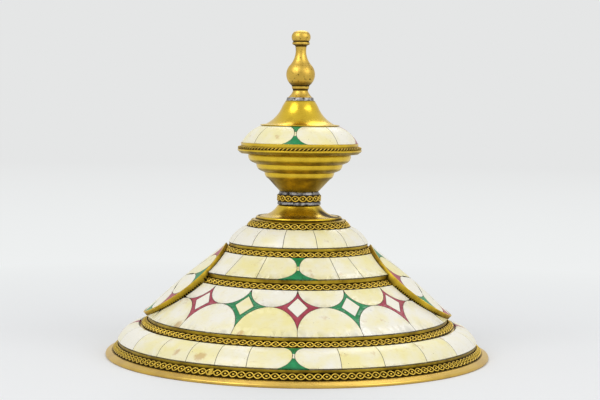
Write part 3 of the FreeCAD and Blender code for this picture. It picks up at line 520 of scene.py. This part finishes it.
@dataclass
class Turning:
    """A piece turned about the axis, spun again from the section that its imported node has."""

    node: str
    body: Body = Body.LID
    rounding_mm: float = 0.22
    facets: int = 180
    longest_mm: float = 0.9
    most_cuts: int = 40
    flat_degrees: float = 3.0
    sharp_degrees: float = 28.0
    crisp_degrees: float = 50.0
    crevice_degrees: float = 25.0
    easing_percent: float = 32.0
    bevel_steps: int = 3

    def outline(self) -> Outline:
        """Reads the section from the node's seam, in order round it.

        Returns:
            Radius and height of each corner; an open run starts and ends on the axis.
        """
        mesh = bmesh.new()
        mesh.from_mesh(frame["nodes"][self.node].data)
        bmesh.ops.remove_doubles(mesh, verts=mesh.verts, dist=TOUCH)
        seam = {v.index: (v.co.x, v.co.z) for v in mesh.verts if abs(v.co.y) < TOUCH and v.co.x > -TOUCH}
        links: dict[int, set[int]] = {index: set() for index in seam}
        for edge in mesh.edges:
            first, last = (v.index for v in edge.verts)
            level = abs(edge.verts[0].co.z - edge.verts[1].co.z) < TOUCH
            if first in seam and last in seam and not level:
                links[first].add(last)
                links[last].add(first)
        mesh.free()
        loose = sorted((i for i in seam if len(links[i]) == 1), key=lambda i: (round(seam[i][1], 6), seam[i][0]))
        while loose:
            first = loose.pop(0)
            if loose and abs(seam[loose[0]][1] - seam[first][1]) < TOUCH:
                last = loose.pop(0)
            elif seam[first][0] < TOUCH:
                continue
            else:
                last = -1 - first
                seam[last] = (0.0, seam[first][1])
                links[last] = set()
            links[first].add(last)
            links[last].add(first)
        ends = [i for i in seam if len(links[i]) == 1]
        here = ends[0] if ends else next(iter(seam))
        order = [here]
        while True:
            onward = [i for i in links[here] if i not in order[-2:] and i != order[0]]
            if not onward:
                break
            here = onward[0]
            order.append(here)
        return [seam[i] for i in order]

    def crevices(self) -> Outline:
        """The hollow corners of the section, where patina and painted shade are laid.

        Returns:
            Radius and height of each hollow corner.
        """
        points = [Vector(p) for p in self.outline()]
        area = sum(a.x * b.y - b.x * a.y for a, b in zip(points, points[1:] + points[:1]))
        hollow = []
        for before, here, after in zip(points[-1:] + points[:-1], points, points[1:] + points[:1]):
            turn = math.degrees((here - before).angle_signed(after - here, 0.0))
            if here.x > TOUCH and turn * math.copysign(1.0, area) > self.crevice_degrees:
                hollow.append((here.x, here.y))
        return hollow

    def build(self) -> bpy.types.Object:
        """Draws the section, rounds its corners and spins it.

        Returns:
            The spun piece.
        """
        points = self.outline()
        is_open = points[0][0] < TOUCH and points[-1][0] < TOUCH
        mesh = bpy.data.meshes.new(self.node)
        joints = [(i, i + 1) for i in range(len(points) - 1)]
        if not is_open:
            joints.append((len(points) - 1, 0))
        mesh.from_pydata([(r, 0.0, z) for r, z in points], joints, [])
        piece = bpy.data.objects.new(self.node + "_spun", mesh)
        bpy.context.scene.collection.objects.link(piece)
        with editing(piece) as work:
            self.round_corners(work)
            self.even_out(bmesh.from_edit_mesh(piece.data))
            bpy.ops.mesh.select_all(action="SELECT")
            bpy.ops.mesh.spin(steps=self.facets, angle=2 * math.pi, center=(0, 0, 0), axis=(0, 0, 1))
            bpy.ops.mesh.select_all(action="SELECT")
            bpy.ops.mesh.remove_doubles(threshold=TOUCH)
            bpy.ops.mesh.normals_make_consistent(inside=False)
        smooth(piece, self.crisp_degrees)
        return piece

    def round_corners(self, work: bmesh.types.BMesh) -> None:
        """Rounds the sharp corners by a set size, and eases the corners of curved stretches.

        Args:
            work: the section in edit mode.
        """
        sharp = []
        gentle = []
        for vertex in work.verts:
            if len(vertex.link_edges) == 2:
                first, last = (edge.other_vert(vertex).co - vertex.co for edge in vertex.link_edges)
                turn = 180.0 - math.degrees(first.angle(last, math.pi))
                if turn > self.flat_degrees:
                    (sharp if turn > self.sharp_degrees else gentle).append(vertex)
        for vertex in work.verts:
            vertex.select = vertex in gentle
        work.select_flush_mode()
        if gentle:
            bpy.ops.mesh.bevel(
                offset_type="PERCENT", offset_pct=self.easing_percent, segments=self.bevel_steps, affect="VERTICES",
            )
        for vertex in work.verts:
            vertex.select = vertex.is_valid and vertex in sharp
        work.select_flush_mode()
        if sharp:
            bpy.ops.mesh.bevel(
                offset_type="OFFSET", offset=self.rounding_mm * MM, segments=self.bevel_steps, affect="VERTICES",
                clamp_overlap=True,
            )

    def even_out(self, work: bmesh.types.BMesh) -> None:
        """Divides long edges of the section, so that the painted shade and patina can fade along them.

        Args:
            work: the section in edit mode.
        """
        longest = self.longest_mm * MM
        lengths = {edge: min(self.most_cuts, edge.calc_length() / longest) for edge in work.edges}
        for cuts in range(1, self.most_cuts):
            chosen = [e for e, times in lengths.items() if e.is_valid and cuts < times <= cuts + 1]
            if chosen:
                bmesh.ops.subdivide_edges(work, edges=chosen, cuts=cuts)


@dataclass
class Crevices:
    """Where patina and painted shade are laid on the turned brass: hollow corners, joints with other pieces, and faces
    turned down.
    """

    points: Outline
    reach_mm: float = 1.15
    # How dark the painted shade on faces turned down is.
    underside: float = 0.66
    under_gain: float = 3.0
    under_start: float = 1.0

    def paint(self, piece: bpy.types.Object) -> None:
        """Stores painted shade with patina for each vertex of a piece: strongest near a hollow corner or joint, and on
        faces turned down.

        Args:
            piece: a piece of turned brass.
        """
        places = vertex_places(piece)
        section = np.column_stack([np.hypot(places[:, 0], places[:, 1]), places[:, 2]])
        nearest = np.full(len(section), np.inf)
        for point in self.points:
            nearest = np.minimum(nearest, np.hypot(*(section - point).T))
        normals = np.zeros(len(section) * 3, np.float32)
        piece.data.vertices.foreach_get("normal", normals)
        # Painted shade: faces that turn down are darkened.
        facing_down = -normals.reshape(-1, 3)[:, 2]
        below = np.clip(facing_down * self.under_gain - self.under_start, 0.0, 1.0) * self.underside
        # Painted shade with patina, strongest at each hollow corner and joint and fading over reach_mm; the darker of
        # the two is kept.
        float_layer(piece, "shade_and_patina_amount", np.maximum(below, np.exp(-((nearest / (self.reach_mm * MM)) ** 2))))


# Marquetry


@dataclass
class Marquetry:
    """A group of tiles, each eased along its edges and given its own tone and grain."""

    node: str
    facing: Optional[Vector] = None
    least_facing: float = 0.1
    crisp_degrees: float = 14.0
    chamfer_mm: float = 0.24
    drop_mm: float = 0.12
    seed: int = 7

    def is_face(self, normal: Vector, middle: Vector) -> bool:
        """Tells whether a triangle lies on the polished face.

        Args:
            normal: the triangle's normal.
            middle: its middle.

        Returns:
            True if it points both outwards and upwards.
        """
        outward = self.facing or Vector((middle.x, middle.y, 0)).normalized()
        return normal.dot(outward) > self.least_facing and normal.z > self.least_facing

    def build(self) -> bpy.types.Object:
        """Copies the tiles and eases the edges of their faces.

        Returns:
            The finished tiles.
        """
        piece = merged_copy(self.node, self.node + "_laid")
        with editing(piece) as work:
            bpy.ops.mesh.select_mode(type="FACE")
            for face in work.faces:
                face.select = self.is_face(face.normal, face.calc_center_median())
            bmesh.update_edit_mesh(piece.data)
            bpy.ops.mesh.inset(thickness=self.chamfer_mm * MM, depth=0.0, use_boundary=True, use_even_offset=True)
            inner = {v.index for face in work.faces if face.select for v in face.verts}
            rims = []
            for vertex in work.verts:
                if vertex.index in inner:
                    continue
                faces = [f for f in vertex.link_faces if self.is_face(f.normal, f.calc_center_median())]
                if faces:
                    rims.append((vertex, sum((f.normal for f in faces), Vector()).normalized()))
            for vertex, normal in rims:
                vertex.co -= normal * self.drop_mm * MM
            bmesh.update_edit_mesh(piece.data)
        edge = np.ones(len(piece.data.vertices))
        edge[list(inner)] = 0.0
        float_layer(piece, "edge", edge)
        self.tone(piece)
        smooth(piece, self.crisp_degrees)
        tops = {f.index for f in piece.data.polygons if inner.issuperset(f.vertices)}
        turn_normals(piece, tops, Vector(), Vector((0, 0, 1)), True)
        return piece

    def tone(self, piece: bpy.types.Object) -> None:
        """Gives each tile a tone and an offset into the grain of its own.

        Args:
            piece: the tiles.
        """
        work = bmesh.new()
        work.from_mesh(piece.data)
        work.verts.ensure_lookup_table()
        dice = random.Random(self.seed + len(work.verts))
        tints = np.zeros(len(work.verts))
        shifts = np.zeros((len(work.verts), 3))
        done: set[int] = set()
        for vertex in work.verts:
            if vertex.index in done:
                continue
            island = [vertex.index]
            done.add(vertex.index)
            for index in island:
                for edge in work.verts[index].link_edges:
                    other = edge.other_vert(work.verts[index]).index
                    if other not in done:
                        done.add(other)
                        island.append(other)
            tints[island] = dice.random()
            shifts[island] = [dice.uniform(-1, 1) for _ in range(3)]
        work.free()
        float_layer(piece, "tint", tints)
        layer = piece.data.attributes.new("tile", "FLOAT_VECTOR", "POINT")
        layer.data.foreach_set("vector", shifts.astype(np.float32).ravel())


# Stamped strips and twisted wire


@dataclass
class RoundStrip:
    """The sloping face of a stamped strip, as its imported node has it."""

    node: str
    slack: float = 1e-5

    def __post_init__(self) -> None:
        """Reads the strip's edges from its node."""
        places = vertex_places(frame["nodes"][self.node])
        radii = np.hypot(places[:, 0], places[:, 1])
        low = places[np.isclose(radii, radii.max(), atol=self.slack), 2]
        peak = places[:, 2].max()
        self.top = Vector((radii[np.isclose(places[:, 2], peak, atol=self.slack)].max(), peak))
        self.foot = Vector((radii.max(), low.min()))
        self.radius = (self.top.x + self.foot.x) / 2
        slope = self.foot - self.top
        self.width = slope.length
        self.down = slope.normalized()
        self.out = Vector((-self.down.y, self.down.x))

    def place(self, azimuth: float, across: float, height: float) -> Vector:
        """Finds a point over the strip's face.

        Args:
            azimuth: angle from the front, in radians.
            across: distance up from the strip's middle.
            height: distance out from its face.

        Returns:
            The point.
        """
        spot = self.top + self.down * (self.width / 2 - across) + self.out * height
        return Vector((spot.x * math.sin(azimuth), -spot.x * math.cos(azimuth), spot.y))


@dataclass
class Filigree:
    """A stamped strip: two waves interlace into a chain of eyes, with a pellet in each eye."""

    node: str
    pitch_mm: float = 6.06
    margin_mm: float = 0.75
    strand_mm: float = 1.15
    strand_height_mm: float = 0.55
    lift_mm: float = 0.16
    pellet_mm: float = 1.0
    pellet_height_mm: float = 0.6
    eyes: tuple[float, float] = (0.25, 0.75)
    fewest: int = 4
    fullness: float = 0.8
    steps: int = 14
    ribs: int = 4
    crisp_degrees: float = 50.0
    lap_degrees: Optional[float] = None
    lap_mm: float = 3.0
    lap_height_mm: float = 0.9
    lap_skew: float = 0.15
    lap_share: float = 0.96
    clear_of: tuple[tuple[Vector, Vector, float], ...] = ()

    def repeats(self, strip: RoundStrip) -> int:
        """The number of pairs of eyes round a strip."""
        return max(self.fewest, round(2 * math.pi * strip.radius / (2 * self.pitch_mm * MM)))

    def strand(self, strip: RoundStrip, angle: float, side: int) -> bpy.types.Object:
        """Makes one strand of one repeat, two eyes long.

        Args:
            strip: the strip's face.
            angle: the angle that the repeat takes up.
            side: 1 for the strand that starts upwards, -1 for the other.

        Returns:
            The strand.
        """
        bpy.ops.mesh.primitive_grid_add(x_subdivisions=2 * self.steps, y_subdivisions=self.ribs, size=2.0)
        piece = bpy.context.active_object
        swing = strip.width / 2 - self.margin_mm * MM
        length = 2 * self.pitch_mm * MM
        for vertex in piece.data.vertices:
            share = (vertex.co.x + 1) / 2
            rib = vertex.co.y
            wave = math.sin(2 * math.pi * share)
            full = math.copysign(abs(wave) ** self.fullness, wave)
            slope = side * swing * 2 * math.pi / length * math.cos(2 * math.pi * share)
            lean = math.atan(slope)
            offset = rib * self.strand_mm * MM / 2
            over = side * math.cos(2 * math.pi * share) * self.lift_mm * MM
            round_top = math.sqrt(max(0.0, 1.0 - rib * rib))
            height = round_top * (self.strand_height_mm * MM + over)
            along = share - offset * math.sin(lean) / length
            vertex.co = strip.place(along * angle, side * swing * full + offset * math.cos(lean), height)
        rows = [i // (2 * self.steps + 1) for i in range(len(piece.data.vertices))]
        relief = [math.sqrt(max(0.0, 1.0 - (2 * row / self.ribs - 1) ** 2)) for row in rows]
        float_layer(piece, "relief", np.array(relief))
        return piece

    def pellet(self, strip: RoundStrip, azimuth: float) -> bpy.types.Object:
        """Makes the domed pellet in one eye.

        Args:
            strip: the strip's face.
            azimuth: the eye's place, in radians.

        Returns:
            The pellet.
        """
        bpy.ops.mesh.primitive_uv_sphere_add(segments=10, ring_count=6, radius=1.0)
        piece = bpy.context.active_object
        reach = self.pellet_mm * MM
        relief = [max(0.0, v.co.z) for v in piece.data.vertices]
        for vertex in piece.data.vertices:
            x, y, z = vertex.co
            vertex.co = strip.place(azimuth + x * reach / strip.radius, y * reach, z * self.pellet_height_mm * MM)
        float_layer(piece, "relief", np.array(relief))
        return piece

    def build(self) -> bpy.types.Object:
        """Lays the repeats round the strip over its plain ground.

        Returns:
            The stamped strip.
        """
        strip = RoundStrip(self.node)
        count = self.repeats(strip)
        angle = 2 * math.pi / count
        parts = [self.strand(strip, angle, side) for side in (1, -1)]
        parts += [self.pellet(strip, angle * share) for share in self.eyes]
        piece = round_array(parts, count, angle)
        if self.lap_degrees is not None:
            lap = self.lap(strip)
            select_only(piece)
            lap.select_set(True)
            bpy.ops.object.join()
        self.trim(piece)
        ground = merged_copy(self.node, self.node + "_stamped")
        float_layer(ground, "relief", np.zeros(len(ground.data.vertices)))
        select_only(ground)
        piece.select_set(True)
        bpy.ops.object.join()
        smooth(ground, self.crisp_degrees)
        return ground

    def lap(self, strip: RoundStrip) -> bpy.types.Object:
        """Makes the plain end of the strip, where it laps over its own start.

        Args:
            strip: the strip's face.

        Returns:
            The end, as a thin plate.
        """
        bpy.ops.mesh.primitive_cube_add(size=1.0)
        piece = bpy.context.active_object
        # The end's upper edge is lighter towards its free side, and below it the plate is painted dark as the shadow
        # in the gap.
        relief = [0.7 + 0.6 * v.co.x if v.co.z > 0 else -1.0 for v in piece.data.vertices]
        for vertex in piece.data.vertices:
            x, y, z = vertex.co
            azimuth = math.radians(self.lap_degrees) + (x + self.lap_skew * y) * self.lap_mm * MM / strip.radius
            rise = (z + 0.5) * self.lap_height_mm * (0.75 + 0.5 * x)
            vertex.co = strip.place(azimuth, y * strip.width * self.lap_share, rise * MM)
        float_layer(piece, "relief", np.array(relief))
        return piece

    def trim(self, piece: bpy.types.Object) -> None:
        """Takes away the relief inside each round space that the strip stops at.

        Args:
            piece: the whole ring of relief.
        """
        with editing(piece) as work:
            for vertex in work.verts:
                vertex.select = any(
                    ((vertex.co - middle) - axis * (vertex.co - middle).dot(axis)).length < radius
                    and vertex.co.dot(axis) > 0
                    for middle, axis, radius in self.clear_of
                )
            work.select_flush_mode()
            bmesh.update_edit_mesh(piece.data)
            bpy.ops.mesh.delete(type="VERT")


def round_array(parts: list[bpy.types.Object], count: int, angle: float) -> bpy.types.Object:
    """Joins the parts of one repeat and copies them round the axis.

    Args:
        parts: the parts of one repeat.
        count: how many repeats go round.
        angle: the turn from one repeat to the next, in radians.

    Returns:
        One object with all the repeats.
    """
    select_only(parts[0])
    for part in parts[1:]:
        part.select_set(True)
    bpy.ops.object.join()
    piece = bpy.context.active_object
    bpy.ops.object.empty_add()
    turn = bpy.context.active_object
    turn.rotation_euler = (0, 0, angle)
    select_only(piece)
    array = piece.modifiers.new("round", "ARRAY")
    array.use_relative_offset = False
    array.use_object_offset = True
    array.offset_object = turn
    array.count = count
    array.use_merge_vertices = True
    array.use_merge_vertices_cap = True
    array.merge_threshold = SEAM_MM * MM
    bpy.context.view_layer.update()
    bpy.ops.object.modifier_apply(modifier=array.name)
    bpy.data.objects.remove(turn)
    with editing(piece):
        bpy.ops.mesh.select_all(action="SELECT")
        bpy.ops.mesh.normals_make_consistent(inside=False)
    return piece


@dataclass
class TwistedWire:
    """Two wires twisted together and laid round the cap's rim."""

    node: str = "cap_rope_wire"
    lay_mm: float = 3.1
    wire_share: float = 0.56
    steps: int = 10
    sides: int = 8
    crisp_degrees: float = 60.0
    rub_gain: float = 4.0
    rub_start: float = 3.2
    most_rubbed: float = 0.8

    def build(self) -> bpy.types.Object:
        """Twists one lay of the two wires and repeats it round the rim.

        Returns:
            The twisted wire.
        """
        low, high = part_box(self.node)
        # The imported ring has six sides, with a corner outermost.
        thick = (high.z - low.z) / 2 / math.sqrt(0.75)
        ring = high.x - thick
        middle = (low.z + high.z) / 2
        count = round(2 * math.pi * ring / (self.lay_mm * MM))
        angle = 2 * math.pi / count
        wire = thick * self.wire_share
        parts = []
        for phase in (0.0, math.pi):
            bpy.ops.mesh.primitive_cylinder_add(vertices=self.sides, radius=1.0, depth=2.0, end_fill_type="NOTHING")
            part = bpy.context.active_object
            with editing(part):
                for step in range(1, self.steps):
                    bpy.ops.mesh.select_all(action="SELECT")
                    bpy.ops.mesh.bisect(plane_co=(0, 0, 2 * step / self.steps - 1), plane_no=(0, 0, 1))
            relief = []
            for vertex in part.data.vertices:
                share = (vertex.co.z + 1) / 2
                twist = phase + math.pi * share
                out = (thick - wire) * math.cos(twist) + wire * vertex.co.x
                up = (thick - wire) * math.sin(twist) + wire * vertex.co.y
                azimuth = share * angle
                radius = ring + out
                vertex.co = (radius * math.sin(azimuth), -radius * math.cos(azimuth), middle + up)
                lightness = math.hypot(out, up) / thick * self.rub_gain - self.rub_start
                relief.append(min(self.most_rubbed, max(0.0, lightness)))
            float_layer(part, "relief", np.array(relief))
            parts.append(part)
        piece = round_array(parts, count, angle)
        piece.name = self.node + "_twisted"
        smooth(piece, self.crisp_degrees)
        return piece


@dataclass
class SolderRun:
    """A run of solder round a joint, swollen unevenly."""

    node: str
    lump_mm: float = 4.0
    swell_mm: float = 0.35
    facets: int = 120
    step_mm: float = 0.5
    crisp_degrees: float = 60.0

    def build(self) -> bpy.types.Object:
        """Divides the plain ring and swells it.

        Returns:
            The solder.
        """
        ring = Turning(self.node, facets=self.facets, longest_mm=self.step_mm, rounding_mm=self.step_mm)
        piece = ring.build()
        piece.name = self.node + "_run"
        lumps = bpy.data.textures.new(self.node + "_lumps", "CLOUDS")
        lumps.noise_scale = self.lump_mm * MM
        lumps.noise_depth = 3
        select_only(piece)
        swell = piece.modifiers.new("swell", "DISPLACE")
        swell.texture = lumps
        swell.texture_coords = "LOCAL"
        swell.strength = 2 * self.swell_mm * MM
        swell.mid_level = 0.5
        bpy.ops.object.modifier_apply(modifier=swell.name)
        smooth(piece, self.crisp_degrees)
        return piece


# Sub-assemblies

# The brown stains that show in the photograph: node, azimuth in degrees, share of the row's height.
STAINS = (
    ("tier_3_lower_bone", -49.0, 0.12),
    ("tier_3_lower_bone", -20.5, 0.12),
    ("tier_4_bone", -39.0, 0.45),
    ("tier_4_bone", -30.0, 0.45),
)

# The dark heat stain on the right of the neck skirt: radius and height in mm, and azimuth, of its two parts.
SOOT = ((21.0, 113.0, 58.0), (28.5, 110.5, 66.0))

# A row's corners within this share of its height count as level with a spot, and its face leans in by this share.
LEVEL_SHARE = 0.25
LEAN_SHARE = 0.4


def round_axis(radius: float, height: float, azimuth: float) -> Vector:
    """The point at a radius and a height, at an azimuth in degrees from the front, rightwards."""
    turn = math.radians(azimuth)
    return Vector((radius * math.sin(turn), -radius * math.cos(turn), height))


def spot_on_row(node: str, azimuth: float, share: float) -> Vector:
    """Finds a point on the face of a row of bone.

    Args:
        node: the row's node.
        azimuth: degrees from the front, rightwards.
        share: height in the row, from 0 at its foot to 1 at its top.

    Returns:
        The point.
    """
    places = vertex_places(frame["nodes"][node])
    low, high = places[:, 2].min(), places[:, 2].max()
    height = low + (high - low) * share
    radii = np.hypot(places[:, 0], places[:, 1])
    level = np.abs(places[:, 2] - height) < LEVEL_SHARE * (high - low)
    radius = radii[level].max() - (share * LEAN_SHARE) * (high - low)
    return round_axis(radius, height, azimuth)


@dataclass
class Finishes:
    """One material of each finish, shared by the sub-assemblies."""

    def __post_init__(self) -> None:
        """Builds the materials."""
        self.bone = Bone(spots=tuple(spot_on_row(*spot) for spot in STAINS)).material()
        self.spun = Brass(spots=tuple(round_axis(r * MM, z * MM, turn) for r, z, turn in SOOT)).material()
        self.cast = Brass(
            name="brass_cast_and_turned", bright="#DAB652", dull="#B08C38", pits=0.9, roughness=0.36,
        ).material()
        self.pressed = Brass(
            name="brass_pressed_and_worn", bright="#D9B658", dull="#BE9A52", ring_depth=0.15, roughness=0.3,
        ).material()
        self.bent = Brass(
            name="brass_strip_bent_and_filed", ring_mm=3.0, ring_stretch=1.0, ring_depth=0.1, roughness=0.3,
        ).material()
        self.stamped = StampedBrass().material()
        self.green = Resin("green_resin_poured_and_polished", "#00743E", "#0F9455").material()
        self.red = Resin("red_resin_poured_and_polished", "#9A2C40", "#B74659").material()
        self.solder = SoftSolder().material()


@dataclass
class MedallionSeat:
    """The round space that a medallion takes up on one side of the cone, and the bent strip round it."""

    side: str
    clear_mm: float = 0.3
    wall_lean: float = 0.4
    beside: float = 0.995
    # Painted shadow on the wall: its value at the lip, its growth per mm below the lip, and its most.
    lip_shade: float = 0.3
    shade_per_mm: float = 0.18
    most_shade: float = 0.95

    def space(self) -> tuple[Vector, Vector, float]:
        """Reads the space from the medallion's bezel.

        Returns:
            A point on the medallion's axis, the axis's direction, and the radius to stay clear of.
        """
        low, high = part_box(f"medallion_{self.side}_bezel")
        plate_low, plate_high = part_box(f"medallion_{self.side}_plate")
        sign = math.copysign(1.0, (low.x + high.x) / 2)
        rise = plate_high.z - plate_low.z
        run = plate_high.x - plate_low.x
        axis = Vector((sign * rise, 0.0, run)).normalized()
        return (plate_low + plate_high) / 2, axis, (high.y - low.y) / 2 + self.clear_mm * MM

    def bezel(self) -> bpy.types.Object:
        """Copies the bent strip, evens out its shading, and paints it darker downwards from its lip, as a painted
        shadow below the bright lip.

        Returns:
            The strip.
        """
        node = f"medallion_{self.side}_bezel"
        piece = merged_copy(node, node + "_wall")
        smooth(piece)
        middle, axis, _ = self.space()
        walls = {f.index for f in piece.data.polygons if abs(f.normal.dot(axis)) < self.wall_lean}
        turn_normals(piece, walls, middle, axis, False)
        spread = vertex_places(piece) - np.array(middle)
        rise = spread @ np.array(axis)
        turn = np.arctan2(spread[:, 1], spread @ np.array(axis.cross(Vector((0.0, 1.0, 0.0)))))
        near = np.cos(turn[:, None] - turn[None, :]) > self.beside
        lip = np.where(near, rise[None, :], -1.0).max(axis=1)
        # Painted shadow: each point of the wall is darker the further it lies below the lip beside it.
        patina_and_shade = self.lip_shade + self.shade_per_mm * (lip - rise) / MM
        float_layer(piece, "shade_and_patina_amount", np.clip(patina_and_shade, 0.0, self.most_shade))
        return piece


@dataclass
class Tagine:
    """The whole object: the dish, and the lid with its marquetry, neck, cap and finial."""

    finishes: Finishes
    turned: tuple[str, ...] = (
        "lid_shell", "neck_skirt", "neck_cup", "cap_disc", "cap_shell", "cap_dome", "finial",
    )
    strips: tuple[str, ...] = (
        "filigree_shoulder", "filigree_2", "filigree_3", "filigree_4", "filigree_foot", "filigree_collar",
    )
    solders: tuple[str, ...] = ("neck_solder_lower", "neck_solder_upper", "finial_solder")
    hidden: tuple[str, ...] = ("neck_tube", "medallion_right_plate", "medallion_left_plate")
    sides: tuple[str, ...] = ("right", "left")
    lapped: str = "filigree_foot"
    lap_degrees: float = -25.3

    def brass(self) -> None:
        """Spins the turned brass of the dish and the lid, and paints patina and shade into its crevices and onto its
        undersides.
        """
        turnings = [Turning("base_dish", Body.DISH)] + [Turning(node) for node in self.turned]
        hollows = [p for turning in turnings if turning.node != "neck_cup" for p in turning.crevices()]
        # The strips' upper edges, and the foot strip's foot, are joints with the rows where painted shade is laid too.
        hollows += [tuple(RoundStrip(node).top) for node in self.strips]
        hollows.append(tuple(RoundStrip("filigree_foot").foot))
        crevices = Crevices(hollows)
        for turning in turnings:
            piece = turning.build()
            crevices.paint(piece)
            special = {"finial": self.finishes.cast, "base_dish": self.finishes.pressed}
            material = special.get(turning.node, self.finishes.spun)
            dress(piece, turning.body, Slot.BRASS, material, turning.node)
        for node in self.hidden:
            frame["nodes"][node].data.materials.clear()
            frame["nodes"][node].data.materials.append(self.finishes.spun)
        for side in self.sides:
            bezel = MedallionSeat(side).bezel()
            dress(bezel, Body.LID, Slot.BRASS, self.finishes.bent, f"medallion_{side}_bezel")

    def ornament(self) -> None:
        """Lays the stamped strips, the twisted wire and the solder."""
        seats = tuple(MedallionSeat(side).space() for side in self.sides)
        for node in self.strips:
            cut = seats if node in ("filigree_2", "filigree_3") else ()
            lap = self.lap_degrees if node == self.lapped else None
            strip = Filigree(node, lap_degrees=lap, clear_of=cut).build()
            dress(strip, Body.LID, Slot.BRASS, self.finishes.stamped, node)
        wire = TwistedWire()
        dress(wire.build(), Body.LID, Slot.BRASS, self.finishes.stamped, wire.node)
        for node in self.solders:
            dress(SolderRun(node).build(), Body.LID, Slot.SOLDER, self.finishes.solder, node)

    def marquetry(self) -> None:
        """Lays the bone and the coloured resin, node by node."""
        looks = {
            Slot.BONE.value: self.finishes.bone,
            Slot.GREEN.value: self.finishes.green,
            Slot.RED.value: self.finishes.red,
        }
        facings = {"medallion_right": Vector((1, 0, 0)), "medallion_left": Vector((-1, 0, 0))}
        for subpart in frame["record"]["subparts"]:
            node, slot = subpart["node"], subpart["material_slot"]
            if slot not in looks:
                continue
            facing = next((way for start, way in facings.items() if node.startswith(start)), None)
            piece = Marquetry(node, facing).build()
            dress(piece, Body.LID, Slot(slot), looks[slot], node)


@dataclass
class Studio:
    """A pale floor, soft light from above and both sides, and the camera at the photograph's angle."""

    distance: float = 1.210
    height: float = 0.2007
    pitch: float = 3.758
    roll: float = 0.75
    lens_px: float = 1546.0
    frame_px: float = 600.0
    sensor_mm: float = 36.0
    shift_px: float = 1.0
    floor_radius: float = 4.0
    floor_sides: int = 96
    glow_from: float = 0.25
    glow_full: float = 0.7
    fade_end: float = 3.5
    soft: float = 0.55
    lamp_side: float = 0.9
    aim: tuple[float, float, float] = (0, 0, 0.1)
    # Each lamp's name, place and power in watts.
    lamps: tuple[tuple[str, tuple[float, float, float], float], ...] = (
        ("key", (-0.9, -0.8, 1.2), 9.0), ("fill", (1.0, -0.7, 0.9), 6.0), ("back", (0.1, 1.0, 1.3), 6.0),
    )
    paper: str = "#EDEEEF"
    near: str = "#EEF0F0"
    wall: str = "#E5E6E6"

    def seen(self, tree: bpy.types.NodeTree) -> bpy.types.NodeSocket:
        """Tells the rays that show the background from those that light the object.

        Args:
            tree: the floor's or the world's node tree.

        Returns:
            The socket that is 1 for the eye, for reflections and through glass, and 0 for light.
        """
        path = add_node(tree, "LightPath")
        shown = path.outputs["Is Camera Ray"]
        for ray in ("Is Glossy Ray", "Is Transmission Ray"):
            shown = add_node(tree, "Math", {"operation": "MAXIMUM"}, in0=shown, in1=path.outputs[ray]).outputs[0]
        return shown

    def camera(self) -> None:
        """Places the camera."""
        data = bpy.data.cameras.new("camera")
        data.sensor_width = self.sensor_mm
        data.lens = self.lens_px / self.frame_px * self.sensor_mm
        data.shift_x = self.shift_px / self.frame_px
        camera = bpy.data.objects.new("camera", data)
        bpy.context.scene.collection.objects.link(camera)
        tilt = Matrix.Rotation(math.radians(90.0 - self.pitch), 4, "X")
        lean = Matrix.Rotation(math.radians(self.roll), 4, "Z")
        camera.matrix_world = Matrix.Translation((0.0, -self.distance, self.height)) @ tilt @ lean
        bpy.context.scene.camera = camera

    def floor(self) -> None:
        """Lays the floor, which fades into the background's colour away from the object."""
        bpy.ops.mesh.primitive_circle_add(vertices=self.floor_sides, radius=self.floor_radius, fill_type="NGON")
        floor = bpy.context.active_object
        floor.name = "floor"
        material, tree = new_material("pale_paper_floor")
        place = add_node(tree, "TexCoord").outputs["Object"]
        reach = add_node(tree, "VectorMath", {"operation": "LENGTH"}, in0=place)
        away = reach.outputs["Value"]
        far = add_node(tree, "MapRange", Value=away, From_Min=self.glow_from, From_Max=self.glow_full)
        fade = add_node(tree, "MapRange", Value=away, From_Min=self.glow_full, From_Max=self.fade_end)
        shown = add_node(tree, "Math", {"operation": "MULTIPLY"}, in0=far.outputs[0], in1=self.seen(tree))
        paper = add_node(tree, "BsdfDiffuse", Color=srgb(self.paper))
        tone = add_node(tree, "Mix", COLOURS, in0=fade.outputs[0], in6=srgb(self.near), in7=srgb(self.wall))
        glow = add_node(tree, "Emission", Color=tone.outputs[2], Strength=1.0)
        both = add_node(tree, "MixShader", in0=shown.outputs[0], in1=paper.outputs[0], in2=glow.outputs[0])
        add_node(tree, "OutputMaterial", Surface=both.outputs[0])
        floor.data.materials.append(material)

    def lamp(self, name: str, place: tuple[float, float, float], power: float) -> None:
        """Hangs one square soft light, aimed at the object.

        Args:
            name: the light's name.
            place: where it hangs.
            power: its power in watts.
        """
        data = bpy.data.lights.new(name, "AREA")
        data.size = self.lamp_side
        data.energy = power
        lamp = bpy.data.objects.new(name, data)
        bpy.context.scene.collection.objects.link(lamp)
        aim = Vector(self.aim) - Vector(place)
        lamp.matrix_world = Matrix.Translation(place) @ aim.to_track_quat("-Z", "Y").to_matrix().to_4x4()

    def light(self) -> None:
        """Sets the world and the lamps."""
        scene = bpy.context.scene
        scene.world = bpy.data.worlds.new("studio")
        scene.world.use_nodes = True
        tree = scene.world.node_tree
        tree.nodes.clear()
        soft = add_node(tree, "Background", Color=srgb(self.paper), Strength=self.soft)
        shown = add_node(tree, "Background", Color=srgb(self.wall), Strength=1.0)
        both = add_node(tree, "MixShader", in0=self.seen(tree), in1=soft.outputs[0], in2=shown.outputs[0])
        add_node(tree, "OutputWorld", Surface=both.outputs[0])
        for lamp in self.lamps:
            self.lamp(*lamp)

    def build(self) -> None:
        """Builds the whole studio."""
        self.floor()
        self.light()
        self.camera()
        bpy.context.scene.view_settings.view_transform = "Standard"


def main() -> None:
    """Builds the object and the studio."""
    logging.basicConfig(level=logging.INFO, format="%(name)s %(message)s")
    bpy.ops.object.select_all(action="DESELECT")
    tagine = Tagine(Finishes())
    tagine.brass()
    tagine.ornament()
    tagine.marquetry()
    Studio().build()


if __name__ == "__main__":
    main()
